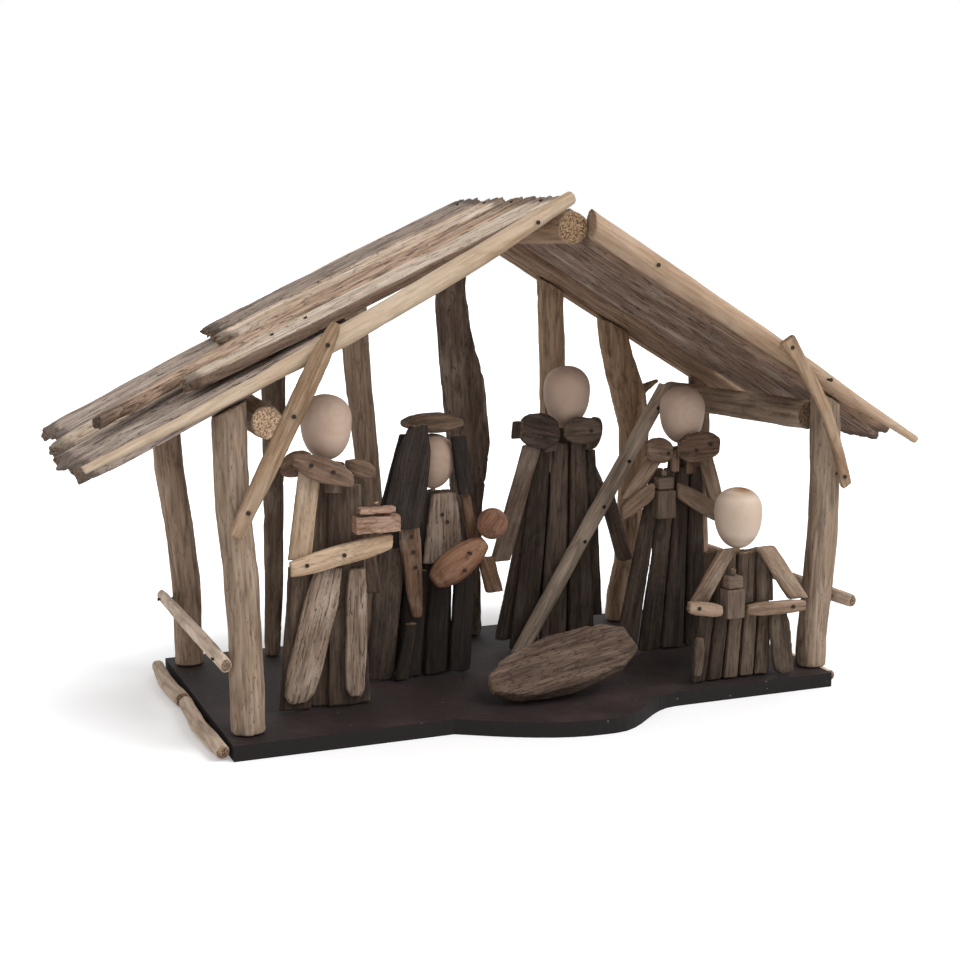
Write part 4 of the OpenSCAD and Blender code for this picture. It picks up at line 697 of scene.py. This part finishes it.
sticks = {
    "front_left_post": ("greyPost", postWear),
    "front_right_post": ("greyPost", postWear),
    "back_left_post": ("backPost", postWear),
    "back_second_post": ("dimPost", postWear),
    "back_third_post": ("backPost", postWear),
    "back_fifth_post": ("warmPost", postWear),
    "forked_branch": ("warmPost", postWear),
    "back_right_post": ("backPost", postWear),
    "back_plank": ("barkPlank", {**postWear, "grooveDeepMm": 1.2, "wanderShare": 0.06}),
    "ridge_pole": ("ridgeLog", {**poleWear, "lumpMm": 0.8}),
    "left_purlin": ("purlinEnd", poleWear),
    "right_purlin": ("greyPost", poleWear),
    "left_rafter_pole": ("creamPole", smoothPole),
    "right_rafter_pole": ("toastPole", smoothPole),
    "left_brace": ("braceWood", {**smoothPole, "voxelMm": 1.0, "wanderShare": 0.12}),
    "right_brace": ("braceWood", {**smoothPole, "voxelMm": 1.0, "wanderShare": 0.08}),
    "left_side_rail": ("edgeStick", {**smoothPole, "raggedMm": 2.0}),
    "right_side_rail": ("edgeStick", {**smoothPole, "raggedMm": 2.0}),
    "edge_sticks": ("edgeStick", {**smoothPole, "voxelMm": 1.1, "raggedMm": 1.5, "lumpMm": 0.9}),
    "left_eave_front_slat": ("greySlat", slatWear),
    "left_eave_brown_slat": ("greySlat", slatWear),
    "left_eave_wide_slat": ("tanSlat", slatWear),
    "left_eave_back_slats": ("greySlat", slatWear),
    "left_upper_front_slat": ("whiteSlat", {**slatWear, "barkSide": (0, -1, 0)}),
    "left_upper_second_slat": ("streakSlat", {**slatWear, "tipMm": 62.0}),
    "left_upper_back_slats": ("sunSlat", slatWear, [((-74, 68, 260), "greySlat")]),
    "right_front_slat": ("toastSlat", plankWear),
    "right_front_plank": ("shadePlank", plankWear),
    "right_back_plank": ("shadePlank", plankWear),
    "right_back_strips": ("toastSlat", plankWear),
    "right_upper_slats": (
        "tanSlat", slatWear, [((99, -12.9, 247), "greySlat"), ((91.5, 68.6, 252), "toastSlat")]),
    "left_king_robe": (
        "robe", figureWear, [((-131, -54, 54), "paleSlat"), ((-106, -54, 54), "paleSlat")]),
    "left_king_arms": ("paleArm", armWear, [((-116, -59, 101), "creamArm")]),
    "left_king_shoulders": ("collar", chipWear, [((-101, -48.7, 148), "brownCap")]),
    "mother_robe": (
        "duskRobe", figureWear, [((-35, -6.8, 102), "tornSlat"), ((-73, -6.8, 51), "kingRobe")]),
    "mother_arms": ("brownArm", armWear),
    "mother_veil": ("veil", chipWear, [((-39, 0, 167), "brownCap")]),
    "father_robe": ("kingRobe", figureWear),
    "father_arms": ("fatherArm", armWear),
    "father_shoulders": ("darkCollar", chipWear),
    "right_king_robe": ("kingRobe", figureWear),
    "right_king_arms": ("dullArm", armWear),
    "right_king_shoulders": ("collar", chipWear),
    "kneeling_king_robe": ("warmRobe", figureWear),
    "kneeling_king_arms": ("dullArm", armWear),
    "staff": ("staffWood", {**smoothPole, "voxelMm": 0.9}),
    "baby": (
        "redBaby", {**armWear, "wanderShare": 0.0, "raggedMm": 0.0},
        [((-7.9, -20.8, 105), "babyHead")]),
    "crib": (
        "cribRoot", {
            **figureWear, "voxelMm": 1.0, "grooveDeepMm": 0.8, "lumpMm": 0.9, "lumpLongMm": 12,
            "wanderShare": 0.02, "roundSteps": 6, "barkSide": (0.15, 0.5, -0.85)}),
    "left_king_gift": ("pinkBurl", burlWear),
    "right_king_gift": ("stubBlock", blockWear),
    "kneeling_king_gift": ("stubBlock", blockWear),
}
for nodeName, row in sticks.items():
    makeDriftwood(nodeName, *row)
print("driftwood carved")


# Heads: turned and sanded wooden eggs without a face

headLooks = {
    "plain": {"base": "#c6ad9b", "ring": "#b0927e", "spot": "#a88468", "ringShare": 0.2},
    # the plain wood made darker: painted shade for the mother's head
    "shaded": {"base": "#b39a88", "ring": "#9d806c", "spot": "#a88468", "ringShare": 0.2},
    "pithTop": {"base": "#d0bcaa", "ring": "#b99f89", "spot": "#94602f", "ringShare": 0.4},
}


headForm = {
    "ringScale": 0.075,  # a light and a dark ring take about 4 mm together
    "ringDistortion": 2.2, "ringDetail": 2.0, "ringDetailScale": 0.06,
    "cloudScale": 0.11, "blushFrom": (0.5, 0.75), "blushShare": 0.35,
    "bumpStrength": 0.2, "bumpDeep": 0.0006, "roughness": 0.58, "specular": 0.35,
    "segments": (72, 48), "eggPower": 2.5, "wideAbove": 0.13, "dentShare": 0.018, "dentScale": 1.6,
    "grainTurn": (0.5, 1.25), "pithTurn": 1.5708,  # radians
    "spotRadius": 0.0075, "spotPower": 0.7,
    "spotAt": (0.001, -0.004, 0.97),  # metres, and a share of the half height
}


def headMaterial(name, settings):
    # sanded light wood: smooth, faint rings round the core, no lacquer
    material, tree = newMaterial(name)
    grain, spot = (addNode(tree, "ShaderNodeAttribute", {
        "attribute_name": key, "attribute_type": "GEOMETRY"}) for key in ("grain", "hollow"))
    rings = addNode(tree, "ShaderNodeTexWave", {"wave_type": "RINGS", "rings_direction": "X"}, {
        "Vector": grain.outputs["Vector"], "Scale": headForm["ringScale"],
        "Distortion": headForm["ringDistortion"], "Detail": headForm["ringDetail"],
        "Detail Scale": headForm["ringDetailScale"]})
    cloud = addNode(tree, "ShaderNodeTexNoise", None, {
        "Vector": grain.outputs["Vector"], "Scale": headForm["cloudScale"], "Detail": 4.0})
    ringed = addNode(tree, "ShaderNodeMath", {"operation": "MULTIPLY"}, {
        0: rings.outputs["Fac"], 1: settings["ringShare"]})
    start, end = headForm["blushFrom"]
    blush = addNode(tree, "ShaderNodeMapRange", None, {
        "Value": cloud.outputs["Fac"], "From Min": start, "From Max": end,
        "To Min": 0.0, "To Max": headForm["blushShare"]})
    colour = colourOf(settings["base"])
    for share, key in ((ringed.outputs[0], "ring"), (blush.outputs[0], "ring"),
                       (spot.outputs["Fac"], "spot")):
        colour = addNode(tree, "ShaderNodeMix", colourMix, {
            0: share, 6: colour, 7: colourOf(settings[key])}).outputs[2]
    bump = addNode(tree, "ShaderNodeBump", None, {
        "Height": cloud.outputs["Fac"], "Strength": headForm["bumpStrength"],
        "Distance": headForm["bumpDeep"]})
    wood = addNode(tree, "ShaderNodeBsdfPrincipled", None, {
        "Base Color": colour, "Roughness": headForm["roughness"],
        "Specular IOR Level": headForm["specular"], "Normal": bump.outputs[0]})
    closeMaterial(tree, wood.outputs[0])
    return material


heads = {
    "left_king_head": ("plain", 0.4),
    # the mother's head takes the head colour darkened as painted shade
    "mother_head": ("shaded", 1.7),
    "father_head": ("plain", 2.9),
    "right_king_head": ("plain", 4.1),
    "kneeling_king_head": ("pithTop", 5.3),
}
headWoods = {name: headMaterial("turnedWood_" + name, look) for name, look in headLooks.items()}


def makeHead(nodeName, look, seed):
    low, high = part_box(nodeName)
    middle = (low + high) / 2
    half = (high - low) / 2
    bm = bmesh.new()
    around, upward = headForm["segments"]
    bmesh.ops.create_uvsphere(bm, u_segments=around, v_segments=upward, radius=1.0)
    for vert in bm.verts:  # an egg that is wider above, a little uneven from the knife
        height = vert.co.z
        wide = 0
        if abs(height) < 0.9999:  # not the poles
            girth = (1 - abs(height) ** headForm["eggPower"]) ** 0.5
            wide = girth * (1 + headForm["wideAbove"] * height) / math.hypot(vert.co.x, vert.co.y)
        vert.co.x *= wide
        vert.co.y *= wide
    reach = max(abs(v.co.x) for v in bm.verts)
    for vert in bm.verts:
        place = vert.co * headForm["dentScale"] + Vector((seed, seed, seed))
        dent = headForm["dentShare"] * (0.5 + 0.5 * noise.noise(place))
        sized = Vector((vert.co.x / reach * half.x, vert.co.y / reach * half.y, vert.co.z * half.z))
        vert.co = sized * (1 - dent) + middle
    for face in bm.faces:
        face.smooth = True
    points = [v.co.copy() for v in bm.verts]
    mesh = bpy.data.meshes.new(nodeName + "_wood")
    bm.to_mesh(mesh)
    bm.free()
    aboutUp, over = headForm["grainTurn"]
    turn = Matrix.Rotation(aboutUp + seed, 3, "Z") @ Matrix.Rotation(over, 3, "Y")
    if look == "pithTop":
        turn = Matrix.Rotation(headForm["pithTurn"], 3, "Y")
    grain = np.array([turn @ ((p - middle) * 1000) for p in points])
    addMark(mesh, "grain", "FLOAT_VECTOR", grain.ravel())
    offX, offY, rise = headForm["spotAt"]
    top = middle + Vector((offX, offY, half.z * rise))
    spot = [0.0] * len(points)
    if look == "pithTop":
        spot = [max(0.0, 1 - (p - top).length / headForm["spotRadius"]) ** headForm["spotPower"]
                for p in points]
    addMark(mesh, "hollow", "FLOAT", np.array(spot))
    mesh.materials.append(headWoods[look])
    made = bpy.data.objects.new(mesh.name, mesh)
    bpy.context.scene.collection.objects.link(made)
    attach(made, "root")
    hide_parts(nodeName)


for nodeName, (look, seed) in heads.items():
    makeHead(nodeName, look, seed)
print("heads turned")


# Board: plywood painted matt maroon-brown, darker at the edges, with pale specks

boardLook = {
    "paint": "#291e1d", "deep": "#1f1615", "scuffed": "#3c2d2b", "edge": "#130c0c", "speck": "#8a7a72",
    "stops": (0.32, 0.52, 0.74),
    "lumpScale": 420.0, "cloudScale": 28.0, "speckScale": 160.0,  # per metre
    "speckFrom": (0.05, 0.09), "speckShare": 0.8, "speckCut": 0.72,
    "bumpStrength": 0.5, "bumpDeep": 0.0008, "roughness": 0.72, "specular": 0.3,
    "topFrom": (0.2, 0.9),  # how far a face looks up
    "bevelMm": 0.9, "bevelSegments": 3, "flatDeg": 2, "sharpRadians": 0.6,
    "cornerPlace": (0.18, 0.09),  # metres; the edges beyond this are bevelled
}


def boardMaterial(settings):
    # water paint rolled on wood: matt, with brush lumps about 2 mm across and pale specks of 1 mm
    material, tree = newMaterial("maroonPaint")
    colours = {key: colourOf(value) for key, value in settings.items() if isinstance(value, str)}
    place = addNode(tree, "ShaderNodeTexCoord").outputs["Object"]
    lumps = addNode(tree, "ShaderNodeTexNoise", None, {
        "Vector": place, "Scale": settings["lumpScale"], "Detail": 4.0, "Roughness": 0.6})
    cloud = addNode(tree, "ShaderNodeTexNoise", None, {
        "Vector": place, "Scale": settings["cloudScale"], "Detail": 5.0, "Roughness": 0.65})
    dots = addNode(tree, "ShaderNodeTexVoronoi", {"feature": "F1"}, {
        "Vector": place, "Scale": settings["speckScale"], "Randomness": 1.0})
    ramp = addNode(tree, "ShaderNodeValToRGB", None, {"Fac": cloud.outputs["Fac"]})
    setStops(ramp, list(zip(
        settings["stops"], (colours["deep"], colours["paint"], colours["scuffed"]))))
    start, end = settings["speckFrom"]
    near = addNode(tree, "ShaderNodeMapRange", None, {
        "Value": dots.outputs["Distance"], "From Min": start, "From Max": end,
        "To Min": settings["speckShare"], "To Max": 0.0})
    few = addNode(tree, "ShaderNodeSeparateColor", None, {"Color": dots.outputs["Color"]})
    few = addNode(tree, "ShaderNodeMath", {"operation": "GREATER_THAN"}, {
        0: few.outputs[0], 1: settings["speckCut"]})
    specks = addNode(tree, "ShaderNodeMath", {"operation": "MULTIPLY"}, {
        0: near.outputs[0], 1: few.outputs[0]})
    normal = addNode(tree, "ShaderNodeNewGeometry").outputs["Normal"]
    facing = addNode(tree, "ShaderNodeSeparateXYZ", None, {0: normal})
    start, end = settings["topFrom"]
    flat = addNode(tree, "ShaderNodeMapRange", None, {
        "Value": facing.outputs["Z"], "From Min": start, "From Max": end})
    painted = addNode(tree, "ShaderNodeMix", colourMix, {  # the sides, which look away from the top, are darker
        0: flat.outputs[0], 6: colours["edge"], 7: ramp.outputs[0]})
    specked = addNode(tree, "ShaderNodeMix", colourMix, {
        0: specks.outputs[0], 6: painted.outputs[2], 7: colours["speck"]})
    bump = addNode(tree, "ShaderNodeBump", None, {
        "Height": lumps.outputs["Fac"], "Strength": settings["bumpStrength"],
        "Distance": settings["bumpDeep"]})
    paint = addNode(tree, "ShaderNodeBsdfPrincipled", None, {
        "Base Color": specked.outputs[2], "Roughness": settings["roughness"],
        "Specular IOR Level": settings["specular"], "Normal": bump.outputs[0]})
    closeMaterial(tree, paint.outputs[0])
    return material


def makeBoard(settings):
    bm = mergedCopy("base_board")
    bmesh.ops.dissolve_limit(bm, angle_limit=math.radians(settings["flatDeg"]), verts=bm.verts,
                             edges=bm.edges)
    sideX, sideY = settings["cornerPlace"]
    sharp = [e for e in bm.edges
             if len(e.link_faces) == 2 and e.calc_face_angle() > settings["sharpRadians"]
             and all(abs(v.co.y) > sideY or abs(v.co.x) > sideX for v in e.verts)]
    bmesh.ops.bevel(bm, geom=sharp, offset=settings["bevelMm"] / 1000, offset_type="OFFSET",
                    segments=settings["bevelSegments"], profile=0.5, affect="EDGES", material=-1,
                    clamp_overlap=True)
    mesh = bpy.data.meshes.new("painted_board")
    bm.to_mesh(mesh)
    bm.free()
    mesh.materials.append(boardMaterial(settings))
    made = bpy.data.objects.new("painted_board", mesh)
    bpy.context.scene.collection.objects.link(made)
    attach(made, "root")
    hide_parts("base_board")


makeBoard(boardLook)
print("board painted")


# Fasteners keep their CAD shapes

steelBase = {"scale": 900.0, "second": "#3a2a20", "stops": (0.4, 0.7), "metallic": 0.6}
fastenerLooks = {
    # blued steel wire, dulled by rust
    "nails": {**steelBase, "name": "bluedNail", "first": "#2d2926", "roughness": 0.55},
    # zinc on steel, greyer and smoother, with rust in spots
    "board_screws": {**steelBase, "name": "zincScrew", "first": "#7c7a76", "roughness": 0.4},
    # birch dowel, never seen once the head is on
    "neck_dowels": {
        "name": "birchDowel", "scale": 500.0, "first": "#b3925f", "second": "#d2b585",
        "stops": (0.35, 0.65), "metallic": 0.0, "roughness": 0.7},
}


def fastenerMaterial(settings):
    material, tree = newMaterial(settings["name"])
    place = addNode(tree, "ShaderNodeTexCoord").outputs["Object"]
    cloud = addNode(tree, "ShaderNodeTexNoise", None, {
        "Vector": place, "Scale": settings["scale"], "Detail": 3.0})
    ramp = addNode(tree, "ShaderNodeValToRGB", None, {"Fac": cloud.outputs["Fac"]})
    colours = (colourOf(settings["first"]), colourOf(settings["second"]))
    setStops(ramp, list(zip(settings["stops"], colours)))
    surface = addNode(tree, "ShaderNodeBsdfPrincipled", None, {
        "Base Color": ramp.outputs[0], "Roughness": settings["roughness"],
        "Metallic": settings["metallic"]})
    closeMaterial(tree, surface.outputs[0])
    return material


for nodeName, look in fastenerLooks.items():
    material = fastenerMaterial(look)
    mesh = nodes[nodeName].data
    if mesh.materials:
        for index in range(len(nodes[nodeName].material_slots)):
            nodes[nodeName].material_slots[index].material = material
    else:
        mesh.materials.append(material)
print("fasteners set")

pieces = [o for o in bpy.data.objects if o.name.endswith("_wood")]
print("triangles", sum(len(p.vertices) - 2 for o in pieces for p in o.data.polygons))
